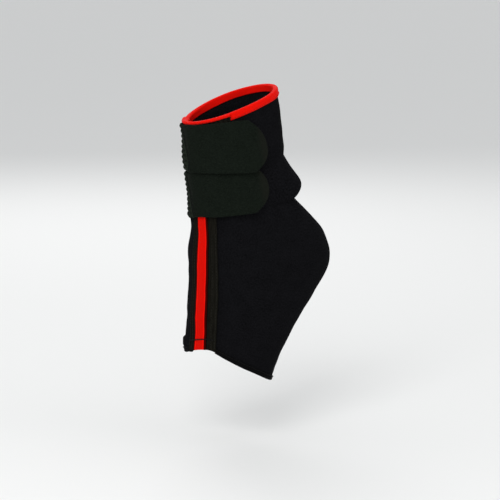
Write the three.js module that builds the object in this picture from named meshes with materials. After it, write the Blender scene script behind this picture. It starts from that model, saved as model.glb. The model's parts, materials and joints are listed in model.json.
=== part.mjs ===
// Wrap-style ankle brace for a left ankle: a pull-on sleeve of two cloth-faced foam side panels, a ribbed
// elastic front panel with a coloured tape down it, bound edges, and two straps that close over the front.
//
// Millimetres. The origin is the centre of the ankle, inside the sleeve. +Z runs up the leg, the toes point
// towards -Y, and +X is the outer side of the foot.
//
// The sleeve's outer face is one surface of two parameters: the fall, 0 at the rim and 1 at the foot opening,
// and the turn, 0 at the front and 90 degrees at the outer side. Every piece is a patch of that surface,
// moved in or out along its normal.
import * as THREE from "three";

// Heights of the two openings from the ankle's centre
const RIM_FRONT_HEIGHT = 98;
const RIM_BACK_HEIGHT = 125.5;
const OPENING_FRONT_DROP = 91.5;
const OPENING_BACK_DROP = 116.5;
const INSTEP_LIFT = 9.8;

// Reaches from the ankle's centre
const SHIN_REACH = 49;
const CALF_REACH = 38;
const HEEL_BULGE = 44.5;
const HALF_WIDTH = 36.5;

// Folds behind the ankle, and how deep the straps press in
const ROLL_HEIGHT = 10;
const CREASE_DEPTH = 1.4;
const STRAP_BITE = 3.2;
const BITE_MARGIN = 6;
const BITE_FADE = 24;
const BITE_END_TURN = THREE.MathUtils.degToRad(36);

// Thicknesses and the space kept between two pieces
const FOAM_WALL = 3.0;
const ELASTIC_WALL = 1.8;
const TAPE_WALL = 1.0;
const EDGE_TAPE_WALL = 0.8;
const STRAP_WALL = 2.0;
const HOOK_WALL = 1.2;
const GAP = 0.3;
const STRAP_CLEARANCE = 0.45;
const FOLD_CLEARANCE = 0.5;

// Front panel and its tape
const FRONT_TURN = THREE.MathUtils.degToRad(17.5);
const PANEL_WIDTH = 25.5;
const PANEL_TOP_WIDTH = 62;
const PANEL_LAP = 7;
const STRIPE_WIDTH = 10.4;

// Bound edges
const RIM_BINDING_HEIGHT = 5.5;
const FRONT_BINDING_HEIGHT = 2.6;
const FOOT_BINDING_HEIGHT = 3.2;

// Straps. Lengths along a strap are measured from the middle of the front panel.
const RIM_TO_STRAP = 1.4;
const STRAP_WIDTH = 37.5;
const STRAP_SPACING = 1.4;
const STRAP_BACK_LENGTH = 78;
const JOIN_BACK_LENGTH = 14;
const JOIN_SLANT = 12;
const TAB_WIDTH = 42.7;
const UPPER_TAB_LENGTH = 62.5;
const LOWER_TAB_LENGTH = 60.5;
const TAB_LAP = 9.6;
const TAB_POINT = 16.5;
const LOOSE_EDGE = 1.4;
const HOOK_LENGTH = 17;
const HOOK_MARGIN = 6;
const BRIDGE_SLOPE = 0.25;

// Sections of the sleeve from the rim to the foot opening. frontZ and backZ are shares of the opening heights:
// above zero of the rim's, below zero of the foot opening's drop. frontY is a share of the shin's reach, calf
// and heel are shares of the calf's reach and the heel's bulge, which add up, and wide is a share of the half
// width. forward moves the widest place to the front, and round is the exponent that squares the section.
const SECTIONS = [
  { frontY: 1.0, frontZ: 1.0, calf: 0.776, heel: 0, backZ: 1.0, wide: 0.93, forward: 0.0, round: 0.98 },
  { frontY: 0.965, frontZ: 0.738, calf: 0.908, heel: 0, backZ: 0.756, wide: 0.96, forward: 0.02, round: 0.98 },
  { frontY: 0.93, frontZ: 0.505, calf: 1.0, heel: 0, backZ: 0.559, wide: 0.97, forward: 0.05, round: 0.97 },
  { frontY: 0.908, frontZ: 0.262, calf: 1.0, heel: 0.213, backZ: 0.291, wide: 0.985, forward: 0.08, round: 0.95 },
  { frontY: 0.898, frontZ: 0.039, calf: 1.0, heel: 0.854, backZ: 0.031, wide: 1.0, forward: 0.12, round: 0.92 },
  { frontY: 0.888, frontZ: -0.186, calf: 1.0, heel: 1.0, backZ: -0.189, wide: 1.0, forward: 0.1, round: 0.9 },
  { frontY: 0.888, frontZ: -0.415, calf: 1.0, heel: 0.607, backZ: -0.421, wide: 0.973, forward: 0.06, round: 0.88 },
  { frontY: 0.908, frontZ: -0.634, calf: 0.95, heel: 0.178, backZ: -0.652, wide: 0.945, forward: 0.0, round: 0.88 },
  { frontY: 0.939, frontZ: -0.831, calf: 0.816, heel: 0, backZ: -0.841, wide: 0.93, forward: -0.04, round: 0.88 },
  { frontY: 0.969, frontZ: -1.0, calf: 0.579, heel: 0, backZ: -1.0, wide: 0.93, forward: -0.06, round: 0.88 },
];

// The foot opening's edge rises over the instep: lift is a share of the instep lift, at a turn in degrees.
const OPENING_EDGE = [
  { turn: -180, lift: 0 },
  { turn: -150, lift: 0.46 },
  { turn: -120, lift: 0.77 },
  { turn: -90, lift: 0.87 },
  { turn: -60, lift: 0.46 },
  { turn: -30, lift: 0.22 },
  { turn: 0, lift: 0.44 },
  { turn: 42, lift: 1.0 },
  { turn: 60, lift: 0.75 },
  { turn: 90, lift: 0.38 },
  { turn: 120, lift: 0.14 },
  { turn: 180, lift: 0 },
];

// The front panel: flare is the share of the way from its plain width to its top width, and drift how far its
// middle moves to the outer side, as a share of the plain width.
const PANEL_RUN = [
  { fall: 0, flare: 1.0, drift: 0 },
  { fall: 0.04, flare: 1.0, drift: 0 },
  { fall: 0.1, flare: 0.86, drift: 0 },
  { fall: 0.22, flare: 0.42, drift: 0 },
  { fall: 0.34, flare: 0.06, drift: 0 },
  { fall: 0.42, flare: 0, drift: 0 },
  { fall: 0.7, flare: 0, drift: 0 },
  { fall: 1, flare: 0, drift: 0.13 },
];

// The two creases that the bent ankle makes behind it, with the roll of cloth between them. fall is the place,
// reach the half width, and the exponent low moves the roll's peak down and the exponent blunt rounds it. overhang
// is how far above the lower crease the roll still stands out.
const CREASES = { upper: 0.217, lower: 0.338, reach: 0.035, sharp: 1.6, low: 2.6, blunt: 0.6, overhang: 0.007 };
const FOLD_TURN = THREE.MathUtils.degToRad(110);

// The tabs' shape along their length: rise is the middle's rise as a share of the tab's width, widen the share
// of the way from the strap's width to the tab's, and lap the share of the full lap of the upper tab over the
// lower one.
const UPPER_TAB_RUN = [
  { along: 0, rise: 0.005, widen: 0 },
  { along: 0.4, rise: 0.033, widen: 0.38 },
  { along: 0.7, rise: 0.063, widen: 0.79 },
  { along: 1, rise: 0.076, widen: 1.0 },
];
const LOWER_TAB_RUN = [
  { along: 0, lap: 0, widen: -0.1 },
  { along: 0.4, lap: 0.16, widen: -0.2 },
  { along: 0.7, lap: 0.6, widen: 0.14 },
  { along: 1, lap: 1.0, widen: 0.6 },
];

const COLOURS = {
  foam: 0x101012,
  elastic: 0x171612,
  red: 0xd70e05,
  strap: 0x141913,
  tab: 0x151a15,
  edge: 0x0c0c0d,
  hook: 0x121412,
};

const clamp = THREE.MathUtils.clamp;
const lerp = THREE.MathUtils.lerp;
const ease = (x, low, high) => THREE.MathUtils.smoothstep(x, low, high);

// Reads one column of a table whose rows are sorted by another column, with straight lines between the rows.
function lookUp(table, key, x, column) {
  let i = 1;
  while (i < table.length - 1 && x > table[i][key]) i += 1;
  const before = table[i - 1];
  const after = table[i];
  const share = clamp((x - before[key]) / (after[key] - before[key]), 0, 1);
  return lerp(before[column], after[column], share);
}

// The sections as lengths.
const ROWS = SECTIONS.map((row) => [
  -row.frontY * SHIN_REACH,
  row.frontZ * (row.frontZ > 0 ? RIM_FRONT_HEIGHT : OPENING_FRONT_DROP),
  row.calf * CALF_REACH + row.heel * HEEL_BULGE,
  row.backZ * (row.backZ > 0 ? RIM_BACK_HEIGHT : OPENING_BACK_DROP),
  row.wide * HALF_WIDTH,
  row.forward,
  row.round,
]);

// A smooth curve through the sections (Catmull-Rom), read at a fall from 0 to 1.
function sectionAt(fall) {
  const last = ROWS.length - 1;
  const place = clamp(fall, 0, 1) * last;
  const i = Math.min(Math.floor(place), last - 1);
  const t = place - i;
  const b = ROWS[i];
  const c = ROWS[i + 1];
  const a = ROWS[i - 1] ?? b.map((v, k) => 2 * v - c[k]);
  const d = ROWS[i + 2] ?? c.map((v, k) => 2 * v - b[k]);
  return b.map((v, k) => 0.5 * (2 * v + (c[k] - a[k]) * t
    + (2 * a[k] - 5 * v + 4 * c[k] - d[k]) * t * t
    + (3 * v - a[k] - 3 * c[k] + d[k]) * t * t * t));
}

const power = (x, exponent) => Math.sign(x) * Math.abs(x) ** exponent;

// The sleeve without its folds: at each fall a rounded section from the front point to the back point.
function bareSleeve(fall, turn) {
  const [frontY, frontZ, backY, backZ, halfWidth, forward, round] = sectionAt(fall);
  const along = power(Math.cos(turn), round);
  const across = power(Math.sin(turn), round);
  return new THREE.Vector3(
    halfWidth * across * (1 + forward * along),
    (frontY + backY) / 2 + ((frontY - backY) / 2) * along,
    (frontZ + backZ) / 2 + ((frontZ - backZ) / 2) * along,
  );
}

function outward(fall, turn) {
  const step = 1e-3;
  const down = bareSleeve(Math.min(fall + step, 1), turn).sub(bareSleeve(Math.max(fall - step, 0), turn));
  const round = bareSleeve(fall, turn + step).sub(bareSleeve(fall, turn - step));
  return down.cross(round).normalize();
}

// Which turn lies a length of girth from the middle of the front panel, at one fall.
const girthTables = new Map();
const GIRTH_STEPS = 120;
function girthTable(fall) {
  const key = fall.toFixed(5);
  if (!girthTables.has(key)) {
    const table = [{ turn: 0, girth: 0 }];
    for (const side of [1, -1]) {
      let girth = 0;
      let from = bareSleeve(fall, FRONT_TURN);
      for (let i = 1; i <= GIRTH_STEPS; i += 1) {
        const turn = (side * i * Math.PI * 1.2) / GIRTH_STEPS;
        const to = bareSleeve(fall, FRONT_TURN + turn);
        girth += side * to.distanceTo(from);
        from = to;
        table.push({ turn, girth });
      }
    }
    girthTables.set(key, table.sort((a, b) => a.girth - b.girth));
  }
  return girthTables.get(key);
}
const turnAt = (fall, girth) => FRONT_TURN + lookUp(girthTable(fall), "girth", girth, "turn");
const girthAt = (fall, turn) => lookUp(girthTable(fall), "turn", turn - FRONT_TURN, "girth");

// The fall at which the bare sleeve passes a height, found by halving.
function fallAt(turn, height) {
  let low = 0;
  let high = 1;
  for (let i = 0; i < 30; i += 1) {
    const middle = (low + high) / 2;
    if (bareSleeve(middle, turn).z > height) low = middle;
    else high = middle;
  }
  return (low + high) / 2;
}

// Heights of the straps' middles, and the fall at which each one's lengths are measured.
const UPPER_LEVEL = RIM_FRONT_HEIGHT - RIM_TO_STRAP - STRAP_WIDTH / 2;
const LOWER_LEVEL = UPPER_LEVEL - STRAP_WIDTH - STRAP_SPACING;
const UPPER_FALL = fallAt(FRONT_TURN, UPPER_LEVEL);
const LOWER_FALL = fallAt(FRONT_TURN, LOWER_LEVEL);
const BITE_FROM = turnAt(UPPER_FALL, -STRAP_BACK_LENGTH);
const BITE_TO = turnAt(UPPER_FALL, UPPER_TAB_LENGTH);

// How far a fold stands out of the bare sleeve, or how far it is pressed in where that is below zero.
function foldAt(fall, turn, height) {
  const awayFromBack = Math.abs(THREE.MathUtils.euclideanModulo(turn, 2 * Math.PI) - Math.PI);
  const behind = 0.5 + 0.5 * Math.cos(Math.PI * clamp(awayFromBack / FOLD_TURN, 0, 1));
  const between = clamp((fall - CREASES.upper) / (CREASES.lower - CREASES.upper), 0, 1);
  let fold = behind * ROLL_HEIGHT * Math.sin(Math.PI * between ** CREASES.low) ** CREASES.blunt;
  for (const place of [CREASES.upper, CREASES.lower]) {
    const near = clamp(1 - Math.abs(fall - place) / CREASES.reach, 0, 1);
    fold -= behind * CREASE_DEPTH * near ** CREASES.sharp;
  }
  const top = UPPER_LEVEL + STRAP_WIDTH / 2 + BITE_MARGIN;
  const bottom = LOWER_LEVEL - STRAP_WIDTH / 2 - BITE_MARGIN;
  const band = (1 - ease(height, top, top + BITE_FADE)) * ease(height, bottom - BITE_FADE, bottom);
  const ends = ease(turn, BITE_FROM - BITE_END_TURN, BITE_FROM)
    * (1 - ease(turn, BITE_TO, BITE_TO + BITE_END_TURN));
  return fold - STRAP_BITE * band * ends;
}

// A point of the sleeve's outer face, moved out by some millimetres. Above the rim and below the foot opening
// (a fall outside 0 to 1) it runs straight on.
function sleeve(fall, turn, out) {
  const inside = clamp(fall, 0, 1);
  const wrapped = turn > Math.PI ? turn - 2 * Math.PI : turn;
  const point = bareSleeve(inside, wrapped);
  const push = foldAt(inside, wrapped, point.z) + out;
  point.addScaledVector(outward(inside, wrapped), push);
  if (fall !== inside) {
    const step = 1e-3;
    const near = bareSleeve(inside > 0.5 ? 1 - step : step, wrapped);
    const slope = bareSleeve(inside, wrapped).sub(near).divideScalar(step);
    point.addScaledVector(slope, Math.abs(fall - inside));
  }
  return point;
}

// Millimetres of surface for one unit of fall, at the rim or the foot opening.
function fallLength(end, turn) {
  const step = 1e-3;
  return bareSleeve(end, turn).distanceTo(bareSleeve(Math.abs(end - step), turn)) / step;
}

// The fall of the foot opening's edge, raised over the instep.
function openingFall(turn) {
  const degrees = THREE.MathUtils.radToDeg(turn > Math.PI ? turn - 2 * Math.PI : turn);
  const lift = INSTEP_LIFT * lookUp(OPENING_EDGE, "turn", degrees, "lift");
  return 1 - lift / fallLength(1, turn);
}

const panelHalf = (fall) =>
  lerp(PANEL_WIDTH, PANEL_TOP_WIDTH, lookUp(PANEL_RUN, "fall", fall, "flare")) / 2;
const panelTurn = (fall, girth) =>
  turnAt(fall, girth + PANEL_WIDTH * lookUp(PANEL_RUN, "fall", fall, "drift"));

// A closed body between an outer and an inner sheet. pointAt(i, j, side) gives the sheets' points on a grid
// of rows by columns, with side 0 the outer sheet and side 1 the inner one.
function slab(name, colour, rows, columns, pointAt, roughness = 0.9) {
  const positions = [];
  const at = (i, j, side) => (i * (columns + 1) + j) * 2 + side;
  for (let i = 0; i <= rows; i += 1) {
    for (let j = 0; j <= columns; j += 1) {
      positions.push(...pointAt(i, j, 0).toArray(), ...pointAt(i, j, 1).toArray());
    }
  }
  const faces = [];
  const quad = (a, b, c, d) => faces.push(a, b, c, a, c, d);
  for (let i = 0; i < rows; i += 1) {
    for (let j = 0; j < columns; j += 1) {
      quad(at(i, j, 0), at(i + 1, j, 0), at(i + 1, j + 1, 0), at(i, j + 1, 0));
      quad(at(i, j, 1), at(i, j + 1, 1), at(i + 1, j + 1, 1), at(i + 1, j, 1));
    }
  }
  for (let i = 0; i < rows; i += 1) {
    quad(at(i, 0, 0), at(i, 0, 1), at(i + 1, 0, 1), at(i + 1, 0, 0));
    quad(at(i, columns, 1), at(i, columns, 0), at(i + 1, columns, 0), at(i + 1, columns, 1));
  }
  for (let j = 0; j < columns; j += 1) {
    quad(at(0, j, 1), at(0, j, 0), at(0, j + 1, 0), at(0, j + 1, 1));
    quad(at(rows, j, 0), at(rows, j, 1), at(rows, j + 1, 1), at(rows, j + 1, 0));
  }
  const geometry = new THREE.BufferGeometry();
  geometry.setAttribute("position", new THREE.Float32BufferAttribute(positions, 3));
  if (signedVolume(positions, faces) < 0) faces.reverse();
  geometry.setIndex(faces);
  geometry.computeVertexNormals();
  const material = new THREE.MeshStandardMaterial({ color: colour, roughness, metalness: 0 });
  const mesh = new THREE.Mesh(geometry, material);
  mesh.name = name;
  return mesh;
}

function signedVolume(positions, faces) {
  const corner = (k) => new THREE.Vector3().fromArray(positions, faces[k] * 3);
  let volume = 0;
  for (let k = 0; k < faces.length; k += 3) {
    volume += corner(k).dot(corner(k + 1).cross(corner(k + 2))) / 6;
  }
  return volume;
}

// Falls of the sleeve's rows: even ones with the creases' own places moved onto the nearest, and one more that
// holds the roll out over the lower crease.
const EVEN_ROWS = 36;
const FALLS = Array.from({ length: EVEN_ROWS + 1 }, (_, i) => i / EVEN_ROWS);
for (const place of [CREASES.upper, CREASES.lower]) {
  FALLS[Math.round(place * EVEN_ROWS)] = place;
}
FALLS.push(CREASES.lower - CREASES.overhang);
FALLS.sort((a, b) => a - b);
const SLEEVE_ROWS = FALLS.length - 1;

// Stations around the sleeve. A side panel's first one lies under the front panel's edge, its second just clear
// of that edge, and the rest are even up to the seam down the back.
const SIDE_STATIONS = 16;
const PANEL_STATIONS = 8;

function sideTurn(fall, side, j) {
  if (j === 0) return panelTurn(fall, side * (panelHalf(fall) - PANEL_LAP));
  const clear = panelTurn(fall, side * (panelHalf(fall) + GAP));
  return lerp(clear, side * Math.PI, (j - 1) / (SIDE_STATIONS - 1));
}

const frontTurn = (fall, i) => panelTurn(fall, lerp(-1, 1, i / PANEL_STATIONS) * panelHalf(fall));

// One foam side panel, from under the front panel's edge to the seam down the back. side is 1 on the outer
// side of the foot and -1 on the inner side.
function sidePanel(name, side) {
  return slab(name, COLOURS.foam, SLEEVE_ROWS, SIDE_STATIONS, (i, j, inner) => {
    const turn = sideTurn(FALLS[i], side, j);
    const point = sleeve(FALLS[i] * openingFall(turn), turn, -inner * FOAM_WALL);
    if (j === SIDE_STATIONS) point.x = (side * GAP) / 2;
    return point;
  });
}

const PANEL_IN = GAP;
const PANEL_OUT = PANEL_IN + ELASTIC_WALL;
const STRIPE_IN = PANEL_OUT + GAP;
const STRIPE_OUT = STRIPE_IN + TAPE_WALL;

// The ribbed elastic panel, which laps over the edges of both side panels.
function frontPanel() {
  return slab("front_panel", COLOURS.elastic, SLEEVE_ROWS, PANEL_STATIONS, (i, j, inner) => {
    const turn = frontTurn(FALLS[i], j);
    return sleeve(FALLS[i] * openingFall(turn), turn, inner ? PANEL_IN : PANEL_OUT);
  });
}

// The tape down the middle of the front panel, from under the rim's binding to the foot opening.
function frontStripe() {
  const columns = 2;
  const top = (FRONT_BINDING_HEIGHT + GAP) / fallLength(0, FRONT_TURN);
  const falls = [top, ...FALLS.filter((fall) => fall > top + 0.2 / EVEN_ROWS)];
  return slab("front_stripe", COLOURS.red, falls.length - 1, columns, (i, j, inner) => {
    const girth = (lerp(-1, 1, j / columns) * STRIPE_WIDTH) / 2;
    const turn = panelTurn(falls[i], girth);
    return sleeve(falls[i] * openingFall(turn), turn, inner ? STRIPE_IN : STRIPE_OUT);
  }, 0.8);
}

// A tape folded over an edge of the sleeve. end is 0 at the rim and 1 at the foot opening. turns(i) gives the
// turn of each station, and the tape wraps what lies between the offsets inner and outer.
function binding(name, colour, end, stations, turns, { height, wall, inner, outer }) {
  const fold = FOLD_CLEARANCE + wall;
  const leg = GAP + wall;
  const round = wall / 2;
  const outside = [
    { deep: height, out: outer + leg },
    { deep: 0, out: outer + leg },
    { deep: -fold, out: outer + leg - round },
    { deep: -fold, out: inner - leg + round },
    { deep: 0, out: inner - leg },
    { deep: height, out: inner - leg },
  ];
  const inside = [
    { deep: height, out: outer + GAP },
    { deep: 0, out: outer + GAP },
    { deep: -FOLD_CLEARANCE, out: outer + GAP },
    { deep: -FOLD_CLEARANCE, out: inner - GAP },
    { deep: 0, out: inner - GAP },
    { deep: height, out: inner - GAP },
  ];
  return slab(name, colour, stations, outside.length - 1, (i, j, side) => {
    const { deep, out } = (side ? inside : outside)[j];
    const turn = turns(i);
    const edge = end ? openingFall(turn) : 0;
    const into = deep / fallLength(end, turn);
    return sleeve(end ? edge - into : edge + into, turn, out);
  }, 0.8);
}

// From the front panel's outer edge around the back to its inner edge, on the side panels' own stations.
const BACK_STATIONS = 2 * (SIDE_STATIONS - 1);
const aroundBack = (end) => (i) => (i < SIDE_STATIONS
  ? sideTurn(end, 1, i + 1)
  : sideTurn(end, -1, BACK_STATIONS + 1 - i) + 2 * Math.PI);

const rimBinding = () => binding("rim_binding", COLOURS.red, 0, BACK_STATIONS, aroundBack(0), {
  height: RIM_BINDING_HEIGHT,
  wall: TAPE_WALL,
  inner: -FOAM_WALL,
  outer: 0,
});

const frontBinding = () => binding("front_binding", COLOURS.red, 0, PANEL_STATIONS, (i) => frontTurn(0, i), {
  height: FRONT_BINDING_HEIGHT,
  wall: TAPE_WALL,
  inner: -FOAM_WALL,
  outer: PANEL_OUT,
});

const footBinding = () => binding("foot_binding", COLOURS.edge, 1, BACK_STATIONS, aroundBack(1), {
  height: FOOT_BINDING_HEIGHT,
  wall: EDGE_TAPE_WALL,
  inner: -FOAM_WALL,
  outer: 0,
});

// Lower and upper edge of each tab at a share of its length, and of the strap behind it.
function upperTabEdges(along) {
  const middle = UPPER_LEVEL + TAB_WIDTH * lookUp(UPPER_TAB_RUN, "along", along, "rise");
  const width = lerp(STRAP_WIDTH, TAB_WIDTH, lookUp(UPPER_TAB_RUN, "along", along, "widen"));
  return [middle - width / 2, middle + width / 2];
}

function lowerTabEdges(along) {
  const lap = lerp(-STRAP_SPACING, TAB_LAP, lookUp(LOWER_TAB_RUN, "along", along, "lap"));
  const width = lerp(STRAP_WIDTH, TAB_WIDTH, lookUp(LOWER_TAB_RUN, "along", along, "widen"));
  const top = upperTabEdges(along)[0] + lap;
  return [top - width, top];
}

const UPPER = { fall: UPPER_FALL, level: UPPER_LEVEL, length: UPPER_TAB_LENGTH, edges: upperTabEdges };
const LOWER = { fall: LOWER_FALL, level: LOWER_LEVEL, length: LOWER_TAB_LENGTH, edges: lowerTabEdges };

const tabShare = (strap, girth) => clamp((girth + JOIN_BACK_LENGTH) / (strap.length + JOIN_BACK_LENGTH), 0, 1);
const hookFrom = (strap) => strap.length - TAB_POINT - HOOK_LENGTH / 2;
const hookTo = (strap) => hookFrom(strap) + HOOK_LENGTH;
const HOOK_OUT = GAP + HOOK_WALL;

// How far a strap's inner face lies off the sleeve. Each thing under the strap holds it up by its own height,
// and beside it the strap slopes down to the sleeve.
function strapLift(strap, fall, girth, height, turn) {
  const beside = (low, high, x) => Math.max(low - x, x - high, 0);
  const rim = bareSleeve(0, turn).z;
  const overPanel = Math.abs(girth) < panelHalf(0) + GAP;
  const under = [
    { top: 0, away: 0 },
    { top: PANEL_OUT, away: beside(-panelHalf(fall), panelHalf(fall), girth) },
    { top: STRIPE_OUT, away: beside(-STRIPE_WIDTH / 2, STRIPE_WIDTH / 2, girth) },
    { top: HOOK_OUT, away: beside(hookFrom(strap), hookTo(strap), girth) },
    overPanel
      ? { top: PANEL_OUT + GAP + TAPE_WALL, away: Math.max(rim - FRONT_BINDING_HEIGHT - height, 0) }
      : { top: GAP + TAPE_WALL, away: Math.max(rim - RIM_BINDING_HEIGHT - height, 0) },
  ];
  if (strap === UPPER) under.push(lowerTabUnder(fall, girth, height, turn));
  return STRAP_CLEARANCE + Math.max(...under.map(({ top, away }) => top - BRIDGE_SLOPE * Math.max(away - 1, 0)));
}

// The lower tab where the upper one laps over it.
function lowerTabUnder(fall, girth, height, turn) {
  const share = tabShare(LOWER, girth);
  const edge = lowerTabEdges(share)[1];
  const lapStart = lerp(-JOIN_BACK_LENGTH, LOWER_TAB_LENGTH, 0.3);
  const away = Math.hypot(Math.max(height - edge, 0), Math.max(lapStart - girth, 0));
  const top = strapLift(LOWER, fall, girth, Math.min(height, edge), turn) + STRAP_WALL;
  return { top, away };
}

// A strap or tab between two lengths from the front panel's middle. ends(v) gives its two ends at v, the share
// of the width from the lower edge to the upper one.
function bandAround(name, colour, strap, rows, columns, ends, roughness) {
  return slab(name, colour, rows, columns, (i, j, inner) => {
    const v = j / columns;
    const [from, to] = ends(v);
    const girth = lerp(from, to, i / rows);
    const turn = turnAt(strap.fall, girth);
    const [low, high] = strap.edges(tabShare(strap, girth));
    const height = lerp(low, high, v);
    const fall = fallAt(turn, height);
    const share = tabShare(strap, girth);
    const loose = LOOSE_EDGE * (1 - v) ** 2 * ease(share, 0.25, 0.6);
    const lift = strapLift(strap, fall, girthAt(fall, turn), height, turn) + loose;
    return sleeve(fall, turn, lift + (inner ? 0 : STRAP_WALL));
  }, roughness);
}

const joinAt = (v) => -JOIN_BACK_LENGTH - (v - 0.5) * JOIN_SLANT;

const elasticStrap = (name, strap) => bandAround(name, COLOURS.strap, strap, 20, 6,
  (v) => [-STRAP_BACK_LENGTH, joinAt(v) - GAP / 2], 0.9);

const tab = (name, strap) => bandAround(name, COLOURS.tab, strap, 18, 8,
  (v) => [joinAt(v) + GAP / 2, strap.length - TAB_POINT * (2 * v - 1) ** 2], 0.95);

// The hook patch behind a tab's end, clear of the lower tab's lapped edge.
function hookPatch(name, strap) {
  const rows = 4;
  const columns = 5;
  return slab(name, COLOURS.hook, rows, columns, (i, j, inner) => {
    const girth = lerp(hookFrom(strap), hookTo(strap), i / rows);
    const turn = turnAt(strap.fall, girth);
    const [low, high] = strap.edges(tabShare(strap, girth));
    const bottom = low + HOOK_MARGIN + (strap === UPPER ? TAB_LAP : 0);
    const height = lerp(bottom, high - HOOK_MARGIN - (strap === LOWER ? TAB_LAP : 0), j / columns);
    return sleeve(fallAt(turn, height), turn, inner ? GAP : HOOK_OUT);
  }, 1);
}

const brace = new THREE.Group();
brace.add(
  sidePanel("outer_side_panel", 1),
  sidePanel("inner_side_panel", -1),
  frontPanel(),
  frontStripe(),
  rimBinding(),
  frontBinding(),
  footBinding(),
  elasticStrap("upper_strap", UPPER),
  elasticStrap("lower_strap", LOWER),
  tab("upper_tab", UPPER),
  tab("lower_tab", LOWER),
  hookPatch("upper_hook_patch", UPPER),
  hookPatch("lower_hook_patch", LOWER),
);

export default brace;
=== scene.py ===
"""Looks of a wrap-style ankle brace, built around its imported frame.

All shapes are worked out in millimetres, in the frame's own axes: +Z up the leg, toes towards -Y, +X the
outer side of the foot. The sleeve's outer face is a surface of two parameters: the fall, 0 at the rim and 1
at the foot opening, and the turn, 0 at the front and 90 degrees at the outer side. Each piece is a patch of
this surface.
"""
import json
import math

import bpy
import numpy as np
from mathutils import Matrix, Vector


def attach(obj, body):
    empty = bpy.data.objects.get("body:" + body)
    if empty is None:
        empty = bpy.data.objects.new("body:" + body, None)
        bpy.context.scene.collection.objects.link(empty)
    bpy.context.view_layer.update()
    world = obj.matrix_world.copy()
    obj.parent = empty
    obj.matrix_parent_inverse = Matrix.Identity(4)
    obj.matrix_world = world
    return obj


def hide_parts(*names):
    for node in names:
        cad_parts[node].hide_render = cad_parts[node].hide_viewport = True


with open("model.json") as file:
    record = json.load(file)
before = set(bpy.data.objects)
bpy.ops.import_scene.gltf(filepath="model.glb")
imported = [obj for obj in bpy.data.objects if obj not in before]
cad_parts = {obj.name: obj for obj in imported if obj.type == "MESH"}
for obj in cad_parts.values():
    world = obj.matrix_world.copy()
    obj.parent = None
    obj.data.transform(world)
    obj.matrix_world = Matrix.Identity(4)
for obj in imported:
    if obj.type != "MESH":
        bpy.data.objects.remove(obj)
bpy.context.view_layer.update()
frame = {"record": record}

bl_info = {
    "name": "Ankle Brace",
    "version": (1, 0, 0),
    "blender": (4, 5, 0),
    "location": "View3D > Sidebar > Brace",
    "description": "Builds the cloth, webbing and stitching of an ankle brace around its frame",
    "category": "Object",
}

MM = 0.001

# Heights and reaches from the ankle's centre
RIM_FRONT_HEIGHT = 98.0
RIM_BACK_HEIGHT = 125.5
OPENING_FRONT_DROP = 91.5
OPENING_BACK_DROP = 116.5
INSTEP_LIFT = 9.8
SHIN_REACH = 49.0
CALF_REACH = 38.0
HEEL_BULGE = 44.5
HALF_WIDTH = 36.5

# Folds
ROLL_HEIGHT = 10.0
CREASE_DEPTH = 1.4
STRAP_BITE = 3.2
BITE_MARGIN = 6.0
BITE_FADE = 24.0
BITE_END_TURN = math.radians(36)
CREASE = {"upper": 0.217, "lower": 0.338, "reach": 0.035, "sharp": 1.6, "low": 2.6, "blunt": 0.6}
FOLD_TURN = math.radians(110)
# The hem on the inner side of the front: how far it bulges out, how far its edge curls in, and at which falls
# and turns
HEM_BULGE = {"out": 2.2, "in": 1.2, "start": 0.89, "full": 0.91, "curl": 0.942, "end": 0.986,
             "turn": math.radians(-36), "turn_reach": 0.45}

# Thicknesses and gaps
FOAM_WALL = 3.0
ELASTIC_WALL = 1.8
TAPE_WALL = 1.0
EDGE_TAPE_WALL = 0.8
STRAP_WALL = 2.0
HOOK_WALL = 1.2
GAP = 0.3
STRAP_CLEARANCE = 0.45
PANEL_IN = GAP
PANEL_OUT = PANEL_IN + ELASTIC_WALL
STRIPE_IN = PANEL_OUT + GAP
STRIPE_OUT = STRIPE_IN + TAPE_WALL
HOOK_OUT = GAP + HOOK_WALL
FOLD_CLEARANCE = 0.5
PINCHED_WALL = 1.6
PINCH_START = 2.0
PINCH_REACH = 9.0

# Front panel, bindings and straps
FRONT_TURN = math.radians(17.5)
PANEL_WIDTH = 25.5
PANEL_TOP_WIDTH = 62.0
PANEL_LAP = 7.0
LAP_SLOPE = 5.0
STRIPE_WIDTH = 10.4
# Half the width of the stripe's red part; past it the tape is painted dark as edge shadow
STRIPE_RED_HALF = 3.7
SELVEDGE_SHARE, SELVEDGE_REACH = 0.4, 0.05
RIM_BINDING_HEIGHT = 4.7
FRONT_BINDING_HEIGHT = 1.3
FOOT_BINDING_HEIGHT = 3.2
HEM_HEIGHT = 12.0
HEM_STEP_ABOVE, HEM_STEP_BELOW = 1.0, 2.0
PANEL_HEM_SWELL = 0.15
STRIPE_HEM_SWELL = 0.25
STRAP_WIDTH = 37.5
STRAP_TOP_MARGIN = 1.4
STRAP_SPACING = 1.4
STRAP_BACK_LENGTH = 78.0
JOIN_BACK_LENGTH = 14.0
JOIN_SLANT = 12.0
TAB_WIDTH = 42.7
UPPER_TAB_LENGTH = 62.5
LOWER_TAB_LENGTH = 60.5
TAB_LAP = 9.6
TAB_POINT = 16.5
# Lengths from a tab's end over which its colour turns lighter towards the tip
LIGHTER_TIP_START = 11.0
LIGHTER_TIP_END = 6.0
LOOSE_EDGE = 1.4
LOOSE_START, LOOSE_FULL = 0.25, 0.6
HOOK_LENGTH = 17.0
HOOK_HEIGHT = 20.0
HOOK_MARGIN = 6.0
BRIDGE_SLOPE = 0.25
UPPER_LEVEL = RIM_FRONT_HEIGHT - STRAP_TOP_MARGIN - STRAP_WIDTH / 2
LOWER_LEVEL = UPPER_LEVEL - STRAP_WIDTH - STRAP_SPACING

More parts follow.
